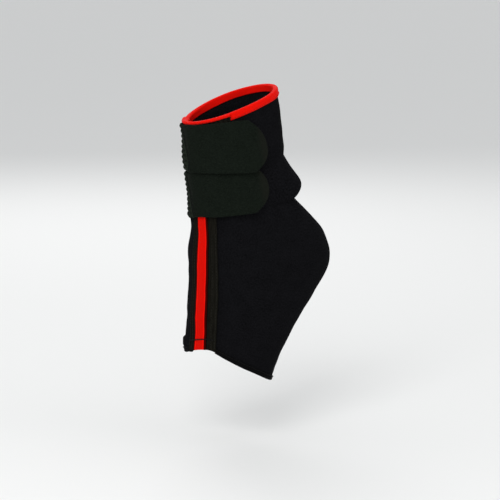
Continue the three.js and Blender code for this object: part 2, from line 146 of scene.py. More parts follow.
# The side panels' cloth laid flat, in metres and square metres, by the panels' names
SIDE_PANELS = {
    "outer_panel_foam": {"side": 1, "node": "outer_side_panel", "flat": (0.14, 0.24), "area": 0.0256},
    "inner_panel_foam": {"side": -1, "node": "inner_side_panel", "flat": (0.16, 0.24), "area": 0.0298},
}

# Radii of the rounded edges
FOAM_ROUND = 1.4
ELASTIC_ROUND = 0.9
STRAP_ROUND = 0.9
TAPE_ROUND = 0.4
BINDING_ROUND = 0.6
HOOK_ROUND = 0.5

# Lengths that space the rows and columns and give the cloth its own lengths
PANEL_LENGTH = 190.0
SIDE_LENGTH = 205.0
SLEEVE_SPAN = 200.0
SIDE_SPAN = 100.0
BAND_SPAN = 70.0

# Rows and columns of the meshes
SLEEVE_ROWS = 190
SIDE_COLUMNS = 84
STRIPE_ROWS, STRIPE_COLUMNS = 200, 22
RIM_ROWS, FRONT_ROWS, FOOT_ROWS = 260, 90, 240
BAND_ROWS, TAB_COLUMNS = 110, 60
HOOK_ROWS, HOOK_COLUMNS = 20, 24
COLUMNS_PER_PANEL_RIB, COLUMNS_PER_STRAP_RIB = 6, 10
SMOOTHING_PASSES = 16
# More rows beside each crease, in falls from it
CREASE_ROWS = np.array([-0.012, -0.008, -0.005, -0.0025, -0.001, 0, 0.002, 0.005])

# Seams: how far they lie in from their edges, which falls they join, and how high their stitches arch. A
# stitch's sunk ends lie under the cloth by a share of its rise, and a power makes its arch blunt.
PANEL_SEAM_INSETS = (0.9, 4.1)
PANEL_SEAM_FALLS = (0.44, 0.985)
PANEL_STITCH_RISE = 0.22
PANEL_STITCH_SINK = 0.1
HEM_SEAM_INSET = 0.8
HEM_STITCH, HEM_PITCH, HEM_STITCH_RISE = 1.85, 1.9, 0.4
HEM_THREAD_FACTOR = 2.5
RIM_SEAM_INSET = 1.1
TAPE_SEAM_INSET = 0.8
FRONT_SEAM_MARGIN = 0.4
SEAM_CLEAR_SHARE = 0.04
EDGE_SEAM_POINTS, FRONT_SEAM_POINTS = 400, 120
JOIN_SEAM_INSETS = (1.8, 4.4)
STRAP_END_SEAM_INSETS = (2.2, 5.0)
STITCH_RISE = 0.2
STITCH_SUNK, STITCH_BLUNT = 0.4, 0.6
BACK_SEAM_FALLS = (0.03, 0.982)
ZIGZAGS, ZIGZAG_REACH, ZIGZAG_RISE, ZIGZAG_POINTS = 95, 2.2, 0.12, 900

# Relief of the straps and tabs: how wide the sewn ends are flattened, and the tab's raised edge and channel
END_SEWN_REACH = 6.0
JOIN_SEWN_REACH = 2.0
SEWN_FLATTENING = 0.7
SEWN_DIP = 0.35
RIB_RAISE = 0.25
TAB_EDGE = {"height": 0.35, "girth": 0.6, "reach": 0.9}
TAB_CHANNEL = {"depth": 0.25, "girth": 3.0, "reach": 1.2}

# Sections of the sleeve from the rim to the foot opening, as shares of the sizes above: front reach, front
# height, calf, heel, back height and half width. Then how far forward the widest place lies, and the exponent
# that squares the section.
SECTIONS = np.array([
    (1.0, 1.0, 0.776, 0, 1.0, 0.93, 0.0, 0.98),
    (0.965, 0.738, 0.908, 0, 0.756, 0.96, 0.02, 0.98),
    (0.93, 0.505, 1.0, 0, 0.559, 0.97, 0.05, 0.97),
    (0.908, 0.262, 1.0, 0.213, 0.291, 0.985, 0.08, 0.95),
    (0.898, 0.039, 1.0, 0.854, 0.031, 1.0, 0.12, 0.92),
    (0.888, -0.186, 1.0, 1.0, -0.189, 1.0, 0.1, 0.9),
    (0.888, -0.415, 1.0, 0.607, -0.421, 0.973, 0.06, 0.88),
    (0.908, -0.634, 0.95, 0.178, -0.652, 0.945, 0.0, 0.88),
    (0.939, -0.831, 0.816, 0, -0.841, 0.93, -0.04, 0.88),
    (0.969, -1.0, 0.579, 0, -1.0, 0.93, -0.06, 0.88),
])

# The foot opening's lift by the turn in degrees
OPENING_TURNS = np.array([-180, -150, -120, -90, -60, -30, 0, 42, 60, 90, 120, 180.0])
OPENING_LIFTS = np.array([0, 0.46, 0.77, 0.87, 0.46, 0.22, 0.44, 1.0, 0.75, 0.38, 0.14, 0])

# The front panel by the fall: how far it flares from its width to its top width, and drifts to the outer side
PANEL_FALLS = np.array([0, 0.04, 0.1, 0.22, 0.34, 0.42, 0.7, 1.0])
PANEL_FLARES = np.array([1.0, 1.0, 0.86, 0.42, 0.06, 0, 0, 0])
PANEL_DRIFTS = np.array([0, 0, 0, 0, 0, 0, 0, 0.13])

# The tabs by the share of their length: the upper one's rise, both widths, and the lower one's lap
TAB_ALONG = np.array([0, 0.4, 0.7, 1.0])
LAP_ALONG = np.array([0, 0.12, 0.4, 0.7, 1.0])
UPPER_RISE = np.array([0.005, 0.033, 0.063, 0.076])
UPPER_WIDEN = np.array([0, 0.38, 0.79, 1.0])
LOWER_LAP = np.array([0, 0.15, 0.24, 0.6, 1.0])
LOWER_WIDEN = np.array([-0.1, -0.2, 0.14, 0.6])

# Soft unevenness of the worn cloth: waves over the whole fall, waves around, phase and height
RIPPLES = np.array([
    (3.0, 2, 0.4, 0.22),
    (5.3, -3, 1.9, 0.16),
    (8.1, 5, 4.0, 0.10),
    (12.7, -4, 2.7, 0.07),
    (17.9, 7, 0.9, 0.05),
])

# Lumps of the tabs' nap: radians for each millimetre along, radians over the width, and phase
NAP_WAVES = ((0.9, 5, 0), (0.37, -9, 1), (1.7, 23, 0))


# The sleeve's surface


def ease(x, low, high):
    """0 below low, 1 above high, and 3t^2 - 2t^3 between them."""
    t = np.clip((x - low) / (high - low), 0, 1)
    return t * t * (3 - 2 * t)


def bell(x, middle, reach):
    """1 at the middle and e to the minus square of the distance in reaches beside it."""
    return np.exp(-((x - middle) / reach) ** 2)


def lerp(a, b, t):
    """a plus t times the way from a to b."""
    return a + (b - a) * t


def curve(x, xs, ys):
    """A smooth line through a table: cubic pieces, whose slope at a row is the mean slope beside it."""
    slope = np.gradient(ys, xs)
    x = np.clip(x, xs[0], xs[-1])
    i = np.clip(np.searchsorted(xs, x, side="right") - 1, 0, len(xs) - 2)
    step = xs[i + 1] - xs[i]
    t = (x - xs[i]) / step
    return (ys[i] * (1 + 2 * t) * (1 - t) ** 2 + slope[i] * step * t * (1 - t) ** 2
            + ys[i + 1] * t * t * (3 - 2 * t) + slope[i + 1] * step * t * t * (t - 1))


def section_rows():
    """The sections as lengths: front y and z, back y and z, half width, forward, exponent. One more row at
    each end carries the first and last step on."""
    reach, front, calf, heel, back, half, forward, exponent = SECTIONS.T
    rows = np.stack([
        -reach * SHIN_REACH,
        front * np.where(front > 0, RIM_FRONT_HEIGHT, OPENING_FRONT_DROP),
        calf * CALF_REACH + heel * HEEL_BULGE,
        back * np.where(back > 0, RIM_BACK_HEIGHT, OPENING_BACK_DROP),
        half * HALF_WIDTH,
        forward,
        exponent,
    ], -1)
    return np.vstack([2 * rows[0] - rows[1], rows, 2 * rows[-1] - rows[-2]])


SECTION_ROWS = section_rows()


def bare(fall, turn):
    """The sleeve without folds. A Catmull-Rom curve through the sections gives each fall its own. Its points
    are the mean of front and back plus half their distance times cos(turn) to the exponent, and sideways the
    half width times sin(turn) to the exponent."""
    fall, turn = np.broadcast_arrays(fall, turn)
    place = np.clip(fall, 0, 1) * (len(SECTIONS) - 1)
    i = np.minimum(place.astype(int), len(SECTIONS) - 2)
    t = (place - i)[..., None]
    a, b, c, d = (SECTION_ROWS[i + k] for k in range(4))
    square, cube = 2 * a - 5 * b + 4 * c - d, 3 * b - a - 3 * c + d
    row = 0.5 * (2 * b + (c - a) * t + square * t ** 2 + cube * t ** 3)
    front_y, front_z, back_y, back_z, half, forward, exponent = np.moveaxis(row, -1, 0)
    cos, sin = np.cos(turn), np.sin(turn)
    along = np.sign(cos) * np.abs(cos) ** exponent
    across = np.sign(sin) * np.abs(sin) ** exponent
    return np.stack([
        half * across * (1 + forward * along),
        (front_y + back_y) / 2 + (front_y - back_y) / 2 * along,
        (front_z + back_z) / 2 + (front_z - back_z) / 2 * along,
    ], -1)


def unit(vectors):
    """Vectors scaled to length 1."""
    return vectors / np.maximum(np.linalg.norm(vectors, axis=-1, keepdims=True), 1e-12)


def outward(fall, turn, step=1e-3):
    """The bare sleeve's outward normal: the cross product of its slopes down and around."""
    down = bare(np.minimum(fall + step, 1), turn) - bare(np.maximum(fall - step, 0), turn)
    around = bare(fall, turn + step) - bare(fall, turn - step)
    return unit(np.cross(down, around))


# Grids on which the girth from the front's middle, and the turn at each girth, are worked out once
TABLE_FALLS = np.linspace(0, 1, 201)
TABLE_TURNS = np.linspace(-1.2 * math.pi, 1.2 * math.pi, 481)
TABLE_GIRTHS = np.linspace(-170, 170, 681)


def girth_tables():
    """Running length of the bare sleeve's sections, and its inverse row by row."""
    points = bare(TABLE_FALLS[:, None], FRONT_TURN + TABLE_TURNS[None, :])
    steps = np.linalg.norm(np.diff(points, axis=1), axis=-1)
    run = np.concatenate([np.zeros((len(TABLE_FALLS), 1)), np.cumsum(steps, axis=1)], axis=1)
    run -= run[:, [len(TABLE_TURNS) // 2]]
    turns = np.stack([np.interp(TABLE_GIRTHS, row, TABLE_TURNS) for row in run])
    return run, turns


def read_table(table, columns, fall, x):
    """Reads a grid whose rows are falls, with straight lines between its points."""
    fall, x = np.broadcast_arrays(fall, x)
    u = np.clip(fall, 0, 1) * (len(TABLE_FALLS) - 1)
    v = np.clip((x - columns[0]) / (columns[1] - columns[0]), 0, len(columns) - 1.001)
    i = np.minimum(u.astype(int), len(TABLE_FALLS) - 2)
    j = v.astype(int)
    s, t = u - i, v - j
    return (table[i, j] * (1 - s) * (1 - t) + table[i + 1, j] * s * (1 - t)
            + table[i, j + 1] * (1 - s) * t + table[i + 1, j + 1] * s * t)


GIRTH_AT, TURN_AT = girth_tables()


def turn_at(fall, girth):
    """The turn that lies a length of girth from the front's middle."""
    return FRONT_TURN + read_table(TURN_AT, TABLE_GIRTHS, fall, girth)


def girth_at(fall, turn):
    """The girth from the front's middle to a turn."""
    return read_table(GIRTH_AT, TABLE_TURNS, fall, turn - FRONT_TURN)


def fall_at(turn, height):
    """The fall at which the bare sleeve passes a height, by halving."""
    low = np.zeros(np.broadcast(turn, height).shape)
    high = np.ones_like(low)
    for _ in range(24):
        middle = (low + high) / 2
        above = bare(middle, turn)[..., 2] > height
        low = np.where(above, middle, low)
        high = np.where(above, high, middle)
    return (low + high) / 2


UPPER_FALL = float(fall_at(FRONT_TURN, UPPER_LEVEL))
LOWER_FALL = float(fall_at(FRONT_TURN, LOWER_LEVEL))
BITE_FROM = float(turn_at(UPPER_FALL, -STRAP_BACK_LENGTH))
BITE_TO = float(turn_at(UPPER_FALL, UPPER_TAB_LENGTH))


def wrapped(turn):
    """A turn that goes on past the back, counted from the other side instead."""
    return np.where(turn > math.pi, turn - 2 * math.pi, turn)


def ripple(fall, turn):
    """A sum of sines of the fall and the turn."""
    return sum(height * np.sin(2 * math.pi * down * fall + around * turn + phase)
               for down, around, phase, height in RIPPLES)


def fold_at(fall, turn, height):
    """How far the folds stand out: a roll of sin(pi times a power of the way between the creases), a notch at
    each crease, the straps' bite, the hem's bulge and the ripple."""
    away = np.abs(np.mod(turn, 2 * math.pi) - math.pi)
    behind = 0.5 + 0.5 * np.cos(math.pi * np.clip(away / FOLD_TURN, 0, 1))
    between = np.clip((fall - CREASE["upper"]) / (CREASE["lower"] - CREASE["upper"]), 0, 1)
    roll = np.maximum(np.sin(math.pi * between ** CREASE["low"]), 0) ** CREASE["blunt"]
    fold = behind * ROLL_HEIGHT * roll
    for place in (CREASE["upper"], CREASE["lower"]):
        near = np.clip(1 - np.abs(fall - place) / CREASE["reach"], 0, 1)
        fold = fold - behind * CREASE_DEPTH * near ** CREASE["sharp"]
    top = UPPER_LEVEL + STRAP_WIDTH / 2 + BITE_MARGIN
    bottom = LOWER_LEVEL - STRAP_WIDTH / 2 - BITE_MARGIN
    band = (1 - ease(height, top, top + BITE_FADE)) * ease(height, bottom - BITE_FADE, bottom)
    started = ease(turn, BITE_FROM - BITE_END_TURN, BITE_FROM)
    ended = ease(turn, BITE_TO, BITE_TO + BITE_END_TURN)
    hem = HEM_BULGE
    swell = hem["out"] * ease(fall, hem["start"], hem["full"])
    bulge = lerp(swell, -hem["in"], ease(fall, hem["curl"], hem["end"]))
    bulge = bulge * bell(wrapped(turn), hem["turn"], hem["turn_reach"])
    return fold - STRAP_BITE * band * (started * (1 - ended)) + bulge + ripple(fall, turn)


def sleeve(fall, turn, out):
    """The bare sleeve moved out along its normal by the fold and by out. Above the rim and below the foot
    opening it runs straight on."""
    fall, turn, out = np.broadcast_arrays(fall, turn, out)
    inside = np.clip(fall, 0, 1)
    turn = wrapped(turn)
    point = bare(inside, turn)
    push = fold_at(inside, turn, point[..., 2]) + out
    step = 1e-3
    near = bare(np.where(inside > 0.5, 1 - step, step), turn)
    slope = (bare(np.where(inside > 0.5, 1.0, 0.0), turn) - near) / step
    return point + outward(inside, turn) * push[..., None] + slope * np.abs(fall - inside)[..., None]


def fall_length(end, turn, step=1e-3):
    """Millimetres of surface for one unit of fall, at the rim (end 0) or the foot opening (end 1)."""
    return np.linalg.norm(bare(end, turn) - bare(abs(end - step), turn), axis=-1) / step


def opening_fall(turn):
    """The fall of the foot opening's edge, raised over the instep."""
    lift = INSTEP_LIFT * curve(np.degrees(wrapped(turn)), OPENING_TURNS, OPENING_LIFTS)
    return 1 - lift / fall_length(1, turn)


def panel_half(fall):
    """Half the front panel's width at a fall."""
    return lerp(PANEL_WIDTH, PANEL_TOP_WIDTH, curve(fall, PANEL_FALLS, PANEL_FLARES)) / 2


def panel_turn(fall, girth):
    """The turn at a girth from the front panel's middle, which drifts to the outer side lower down."""
    return turn_at(fall, girth + PANEL_WIDTH * curve(fall, PANEL_FALLS, PANEL_DRIFTS))


# Meshes


def run_along(points):
    """Length along a line of points from its first one: the running sum of its steps."""
    return np.concatenate([[0], np.cumsum(np.linalg.norm(np.diff(points, axis=0), axis=-1))])


def stations(length, count, edge):
    """Shares from 0 to 1: evenly spaced, with four more over each rounded edge."""
    near = edge / length * np.array([0, 0.06, 0.22, 0.5])
    return np.concatenate([near, np.linspace(edge / length, 1 - edge / length, count), 1 - near[::-1]])


def rounding(length, shares, edge):
    """Thickness factor of a rounded edge: a quarter circle over the edge's width."""
    away = np.minimum(shares, 1 - shares) * length / edge
    return np.sqrt(np.clip(1 - (1 - np.minimum(away, 1)) ** 2, 0.01, 1))


def add_mesh(name, points, faces, uv=None):
    """A smooth-shaded mesh object from points in millimetres, with its faces turned outwards: the sum of
    their signed volumes, each one corner times the cross product of the next two, is positive then."""
    points = np.asarray(points, float).reshape(-1, 3) * MM
    corners = points[np.array([face[:3] for face in faces])]
    if np.einsum("ij,ij->", corners[:, 0], np.cross(corners[:, 1], corners[:, 2])) <= 0:
        faces = [face[::-1] for face in faces]
    mesh = bpy.data.meshes.new(name)
    mesh.from_pydata(points.tolist(), [], [list(map(int, face)) for face in faces])
    mesh.update()
    if uv is not None:
        corner = np.empty(len(mesh.loops), np.int32)
        mesh.loops.foreach_get("vertex_index", corner)
        layer = mesh.uv_layers.new(name="cloth")
        layer.data.foreach_set("uv", uv[corner].astype(np.float32).ravel())
    mesh.polygons.foreach_set("use_smooth", np.ones(len(mesh.polygons), bool))
    piece = bpy.data.objects.new(name, mesh)
    bpy.context.scene.collection.objects.link(piece)
    return piece


def closed_sheet(name, outer, inner, u, v):
    """Two grids of points joined all round into one closed body. u and v are the cloth's own lengths."""
    rows, columns = outer.shape[:2]
    count = rows * columns
    index = np.arange(count).reshape(rows, columns)
    top = np.stack([index[:-1, :-1], index[1:, :-1], index[1:, 1:], index[:-1, 1:]], -1).reshape(-1, 4)
    ring = np.concatenate([index[0, :-1], index[:-1, -1], index[-1, :0:-1], index[:0:-1, 0]])
    after = np.roll(ring, -1)
    side = np.stack([ring, after, after + count, ring + count], -1)
    faces = np.concatenate([top, top[:, ::-1] + count, side])
    points = np.concatenate([outer.reshape(-1, 3), inner.reshape(-1, 3)])
    plane = np.stack(np.broadcast_arrays(u, v), -1).reshape(-1, 2) * MM
    return add_mesh(name, points, faces.tolist(), np.concatenate([plane, plane]))


def threads(name, line, lift, radius, sides=6):
    """Round threads along lines of points (threads, rings, 3), with the directions of their lift. A ring's
    points are the centre plus the radius times cos along the lift and sin across it; the ends are rounded."""
    count, rings = line.shape[:2]
    along = unit(np.gradient(line, axis=1))
    across = unit(np.cross(along, lift))
    up = np.cross(across, along)
    angle = np.linspace(0, 2 * math.pi, sides, endpoint=False)
    share = np.linspace(0, 1, rings)
    from_end = np.minimum(np.minimum(share, 1 - share) * (rings - 1), 1)
    taper = np.sqrt(np.clip(1 - (1 - from_end) ** 2, 0.2, 1))
    circle = np.cos(angle)[:, None] * up[..., None, :] + np.sin(angle)[:, None] * across[..., None, :]
    points = line[..., None, :] + radius * taper[None, :, None, None] * circle
    index = np.arange(count * rings * sides).reshape(count, rings, sides)
    near, far = index[:, :-1], index[:, 1:]
    wall = np.stack([near, np.roll(near, -1, 2), np.roll(far, -1, 2), far], -1).reshape(-1, 4)
    caps = index[:, 0, ::-1].tolist() + index[:, -1].tolist()
    u = np.broadcast_to(angle * radius, (count, rings, sides))
    v = np.broadcast_to(share[:, None] * rings, (count, rings, sides))
    return add_mesh(name, points, wall.tolist() + caps, np.stack([u, v], -1).reshape(-1, 2) * MM)


def stitch_line(place, length, pitch, stitch, lift, rings=7, nudge=0.2):
    """Centre lines of stitches along a seam. place(s, out) gives points at lengths s; each stitch rises as a
    sine's power from under the cloth to lift above it. A nudge further out gives the lift's direction."""
    share = np.linspace(0, 1, rings)
    s = np.arange(0, length - stitch, pitch)[:, None] + share[None, :] * stitch
    arch = np.sin(math.pi * share) ** STITCH_BLUNT
    rise = lift * (arch * (1 + STITCH_SUNK) - STITCH_SUNK) * np.ones_like(s)
    line = place(s, rise)
    return line, unit(place(s, rise + nudge) - line)


def join_lines(*lines):
    """Several sets of stitches as one set."""
    return np.concatenate([line for line, _ in lines]), np.concatenate([lift for _, lift in lines])


def dress(piece, material, slot, *nodes):
    """Gives a piece its material and its body, and hides the frame's nodes that it stands for; slot is not
    used.
    """
    piece.data.materials.append(material)
    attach(piece, "root")
    if nodes:
        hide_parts(*nodes)
    return piece


# Materials


class Recipe:
    """A material's node tree, with short ways to add its nodes; u and v are the cloth's own lengths."""

    def __init__(self, name, roughness, specular=0.2, sheen=0.0, sheen_roughness=0.5):
        self.material = bpy.data.materials.new(name)
        self.material.use_nodes = True
        self.tree = self.material.node_tree
        self.shader = self.tree.nodes["Principled BSDF"]
        self.shader.inputs["Roughness"].default_value = roughness
        self.shader.inputs["Specular IOR Level"].default_value = specular
        self.shader.inputs["Sheen Weight"].default_value = sheen
        self.shader.inputs["Sheen Roughness"].default_value = sheen_roughness
        self.uv = self.add("ShaderNodeUVMap")
        self.uv.uv_map = "cloth"
        split = self.add("ShaderNodeSeparateXYZ")
        self.link(self.uv.outputs["UV"], split.inputs[0])
        self.u, self.v = split.outputs["X"], split.outputs["Y"]

    def add(self, kind):
        """A new node."""
        return self.tree.nodes.new(kind)

    def link(self, source, target):
        """Joins two sockets."""
        self.tree.links.new(source, target)

    def feed(self, socket, value):
        """Links or sets a socket: value is another socket or a number."""
        if hasattr(value, "links"):
            self.link(value, socket)
        else:
            socket.default_value = value

    def math(self, operation, a, b=0.0, c=0.0):
        """One Math node; a, b and c are sockets or numbers."""
        node = self.add("ShaderNodeMath")
        node.operation = operation
        for socket, value in zip(node.inputs, (a, b, c)):
            self.feed(socket, value)
        return node.outputs[0]

    def wave(self, x, pitch, phase=0.0):
        """sin(2 pi x / pitch + phase)."""
        return self.math("SINE", self.math("MULTIPLY_ADD", x, 2 * math.pi / pitch, phase))

    def noise(self, size, detail=3.0, stretch=(1, 1)):
        """Noise whose lumps are about size metres, stretched along the cloth's own lengths."""
        mapping = self.add("ShaderNodeMapping")
        mapping.inputs["Scale"].default_value = (1 / (size * stretch[0]), 1 / (size * stretch[1]), 1)
        self.link(self.uv.outputs["UV"], mapping.inputs["Vector"])
        texture = self.add("ShaderNodeTexNoise")
        texture.inputs["Scale"].default_value = 1.0
        texture.inputs["Detail"].default_value = detail
        self.link(mapping.outputs["Vector"], texture.inputs["Vector"])
        return texture.outputs["Fac"]

    def ramp(self, x, low, high):
        """0 below low and 1 above high."""
        node = self.add("ShaderNodeMapRange")
        node.inputs["From Min"].default_value = low
        node.inputs["From Max"].default_value = high
        self.link(x, node.inputs["Value"])
        return node.outputs["Result"]

    def blend(self, factor, first, second):
        """A colour mixed from two, which are sockets or linear colours."""
        node = self.add("ShaderNodeMix")
        node.data_type = "RGBA"
        self.link(factor, node.inputs["Factor"])
        for socket, value in ((node.inputs[6], first), (node.inputs[7], second)):
            self.feed(socket, value if hasattr(value, "links") else (*value, 1))
        return node.outputs[2]

    def colour(self, socket):
        """Makes a socket the cloth's colour."""
        self.link(socket, self.shader.inputs["Base Color"])

    def bump(self, height, distance, strength=0.8):
        """Low relief from a socket, distance metres for each unit of its height."""
        node = self.add("ShaderNodeBump")
        node.inputs["Distance"].default_value = distance
        node.inputs["Strength"].default_value = strength
        self.link(height, node.inputs["Height"])
        self.link(node.outputs["Normal"], self.shader.inputs["Normal"])


def shade(colour, factor):
    """A colour made lighter or darker."""
    return tuple(min(1.0, c * factor) for c in colour)


def knit_material(name, colour):
    """Jersey: wales of loops whose courses dip towards each wale's sides, with lint and fine wear."""
    wale_pitch, course_pitch, dip = 0.0022, 0.0009, 2.2
    recipe = Recipe(name, 0.95, 0.015)
    wale = recipe.math("ABSOLUTE", recipe.wave(recipe.u, wale_pitch))
    course = recipe.wave(recipe.v, course_pitch, recipe.math("MULTIPLY", wale, dip))
    loops = recipe.math("MULTIPLY_ADD", course, 0.35, wale)
    recipe.bump(recipe.math("MULTIPLY_ADD", recipe.noise(0.0006, 4), 0.5, loops), 0.00012)
    patches = recipe.ramp(recipe.noise(0.011, 4), 0.35, 0.7)
    grain = recipe.ramp(recipe.noise(0.0011, 4), 0.35, 0.75)
    base = recipe.blend(patches, shade(colour, 0.38), shade(colour, 0.72))
    recipe.colour(recipe.blend(grain, base, shade(colour, 1.7)))
    return recipe.material


def rib_material(name, colour):
    """Rib-knitted elastic: painted shade in the grooves between the ribs, and short cross threads."""
    thread_pitch, rib_pitch = 0.0011, 0.0017
    recipe = Recipe(name, 0.9, 0.02)
    cross = recipe.wave(recipe.v, thread_pitch)
    fuzz = recipe.noise(0.0005, 3, (1, 2.5))
    recipe.bump(recipe.math("MULTIPLY_ADD", fuzz, 1.2, cross), 0.00014)
    # Painted shade: the grooves between the ribs are coloured darker than the ribs.
    rib_groove_shade = recipe.math("MULTIPLY_ADD", recipe.wave(recipe.u, rib_pitch, -math.pi / 2), -0.5, 0.5)
    streaks = recipe.ramp(recipe.noise(0.0012, 3, (1, 9)), 0.35, 0.7)
    base = recipe.blend(rib_groove_shade, shade(colour, 0.45), colour)
    recipe.colour(recipe.blend(streaks, base, shade(colour, 1.3)))
    return recipe.material


def tape_material(name, colour, under, roughness=0.55, red_half=None):
    """Woven tape: cross threads over and under lengthwise ones, with painted shade, by the factor under,
    where they pass under. The stripe has a painted highlight near the edges of its red part, and past
    red_half from its middle line it is painted dark as the shadow along its edges."""
    warp_pitch, weft_pitch = 0.0008, 0.0007
    recipe = Recipe(name, roughness, 0.02)
    over = recipe.math("MULTIPLY", recipe.wave(recipe.u, warp_pitch), recipe.wave(recipe.v, weft_pitch))
    fuzz = recipe.noise(0.0004, 3, (1, 2))
    recipe.bump(recipe.math("MULTIPLY_ADD", fuzz, 0.8, over), 0.00012)
    mottle = recipe.ramp(recipe.noise(0.004, 4, (0.5, 2)), 0.3, 0.75)
    # Painted shade: where the threads pass under they are coloured darker, by the factor under.
    weave = recipe.ramp(over, -0.9, 0.6)
    face = recipe.blend(weave, shade(colour, under), recipe.blend(mottle, colour, shade(colour, 1.12)))
    if red_half:
        away = recipe.math("ABSOLUTE", recipe.math("SUBTRACT", recipe.u, STRIPE_WIDTH / 2 * MM))
        # Painted highlight: a lighter band just inside the edges of the red part, where the raised selvedges
        # catch the light.
        line = recipe.ramp(away, red_half * 0.78, red_half * 0.86)
        # Painted shadow: past red_half the tape is coloured almost black, as the shadow along the stripe's
        # edges.
        selvedge = recipe.ramp(away, red_half, red_half + 0.0003)
        face = recipe.blend(line, face, shade(colour, 1.3))
        face = recipe.blend(selvedge, face, shade(colour, 0.06))
    recipe.colour(face)
    return recipe.material


def strap_material(name, colour, rib_pitch):
    """Strap elastic: fine rubber threads across the ribs, with painted shade in the grooves."""
    recipe = Recipe(name, 0.85, 0.03)
    threads_across = recipe.wave(recipe.u, 0.0009)
    recipe.bump(recipe.math("ADD", recipe.noise(0.0005, 3, (2.5, 1)), threads_across), 0.00014)
    streaks = recipe.ramp(recipe.noise(0.0009, 3, (6, 1)), 0.35, 0.7)
    # Painted shade: the grooves between the ribs are coloured darker than the ribs.
    strap_groove_shade = recipe.math("MULTIPLY_ADD", recipe.wave(recipe.v, rib_pitch, -math.pi / 2), 0.5, 0.5)
    face = recipe.blend(streaks, shade(colour, 1.55), shade(colour, 2.3))
    recipe.colour(recipe.blend(strap_groove_shade, shade(colour, 0.75), face))
    return recipe.material


def pile_material(name, colour, tip, start, end):
    """Brushed loops: tangled nap in two sizes, with painted highlight on its highest lumps. From start to end
    the cloth fades to a lighter tip, and its folded edge along the slanted join gets a painted highlight."""
    recipe = Recipe(name, 1.0, 0.015, 0.015, 0.4)
    nap = recipe.noise(0.0007, 5)
    tufts = recipe.noise(0.0015, 4, (1.4, 1))
    recipe.bump(recipe.math("MULTIPLY_ADD", tufts, 0.8, nap), 0.0004)
    # Painted highlight: the nap's highest lumps and tufts, from the same noises that give its relief, are
    # coloured lighter.
    nap_highlight = recipe.ramp(nap, 0.42, 0.7)
    patches = recipe.ramp(recipe.noise(0.009, 3), 0.35, 0.7)
    base = recipe.blend(patches, shade(colour, 0.5), shade(colour, 0.7))
    base = recipe.blend(nap_highlight, base, shade(colour, 1.35))
    base = recipe.blend(recipe.ramp(tufts, 0.5, 0.75), base, shade(colour, 1.15))
    # The tab's end is coloured lighter towards the tip.
    lighter_tip = recipe.math("MULTIPLY", recipe.ramp(recipe.u, start, end), 0.55)
    face = recipe.blend(lighter_tip, base, tip)
    slanted = recipe.math("MULTIPLY_ADD", recipe.v, JOIN_SLANT / STRAP_WIDTH, recipe.u)
    from_join = recipe.math("ADD", slanted, (JOIN_BACK_LENGTH - JOIN_SLANT / 2) * MM)
    # Painted highlight: a lighter band along the raised folded edge at the slanted join.
    recipe.colour(recipe.blend(recipe.ramp(from_join, 0.0017, 0.001), face, shade(colour, 2.5)))
    return recipe.material


def hook_material(name, colour):
    """Hook tape: rows of small stiff hooks, with painted highlight on the hooks and painted shade between
    them.
    """
    pitch = 0.0012
    recipe = Recipe(name, 0.7, 0.1)
    dots = recipe.math("MULTIPLY", recipe.wave(recipe.u, pitch), recipe.wave(recipe.v, pitch))
    recipe.bump(dots, 0.0004, 1.0)
    # Painted highlight and shade: the colour follows the hooks' relief, lighter on the hooks and darker
    # between them.
    recipe.colour(recipe.blend(recipe.ramp(dots, 0, 0.8), shade(colour, 0.7), shade(colour, 1.6)))
    return recipe.material


def thread_material(name, colour):
    """Sewing thread: plies that wind round it, with painted shade between the plies and painted highlight on
    them.
    """
    ply_pitch, winding = 0.0005, 0.0006
    recipe = Recipe(name, 0.7, 0.12)
    ply = recipe.wave(recipe.u, ply_pitch, recipe.math("MULTIPLY", recipe.v, 2 * math.pi / winding))
    recipe.bump(ply, 0.00008)
    # Painted shade and highlight: the colour follows the plies' relief, darker between them and lighter on
    # them.
    recipe.colour(recipe.blend(recipe.ramp(ply, -1, 1), shade(colour, 0.8), shade(colour, 1.25)))
    return recipe.material


def material(name, make, *values):
    """The named material, made on its first use."""
    return bpy.data.materials.get(name) or make(name, *values)


# Sizes and colours that a user would change


SLOT_COLOURS = {m["slot"]: tuple(m["base_color"][:3]) for m in frame["record"]["materials"]}


def colour_property(name, slot=None, default=None):
    """A linear colour, by default the record's colour of a slot."""
    return bpy.props.FloatVectorProperty(
        name=name,
        description=f"Linear colour of the {name.lower()}",
        subtype="COLOR",
        min=0,
        max=1,
        default=default or SLOT_COLOURS[slot],
    )


def length_property(name, description, default):
    """A length whose default is given in millimetres."""
    return bpy.props.FloatProperty(
        name=name, description=description, default=default * MM, min=0, unit="LENGTH", precision=5
    )


def count_property(name, description, default):
    """A number of ribs."""
    return bpy.props.IntProperty(name=name, description=description, default=default, min=3)


class BraceSizes(bpy.types.PropertyGroup):
    """Sizes of the cloth's and the stitching's detail."""

    panel_rib: length_property("Panel rib", "Height of the front panel's ribs", 0.35)
    panel_ribs: count_property("Panel ribs", "Ribs across the front panel", 15)
    strap_rib: length_property("Strap rib", "Height of the elastic straps' ribs", 0.7)
    strap_ribs: count_property("Strap ribs", "Ribs across a strap", 9)
    selvedge: length_property("Selvedge", "Height of the raised edges of the tapes", 0.18)
    thread: length_property("Thread", "Diameter of the sewing thread", 0.42)
    stitch: length_property("Stitch", "Length of one stitch", 2.4)
    pitch: length_property("Pitch", "Length from one stitch to the next", 2.8)
    nap: length_property("Nap", "Unevenness of the brushed tabs", 0.12)


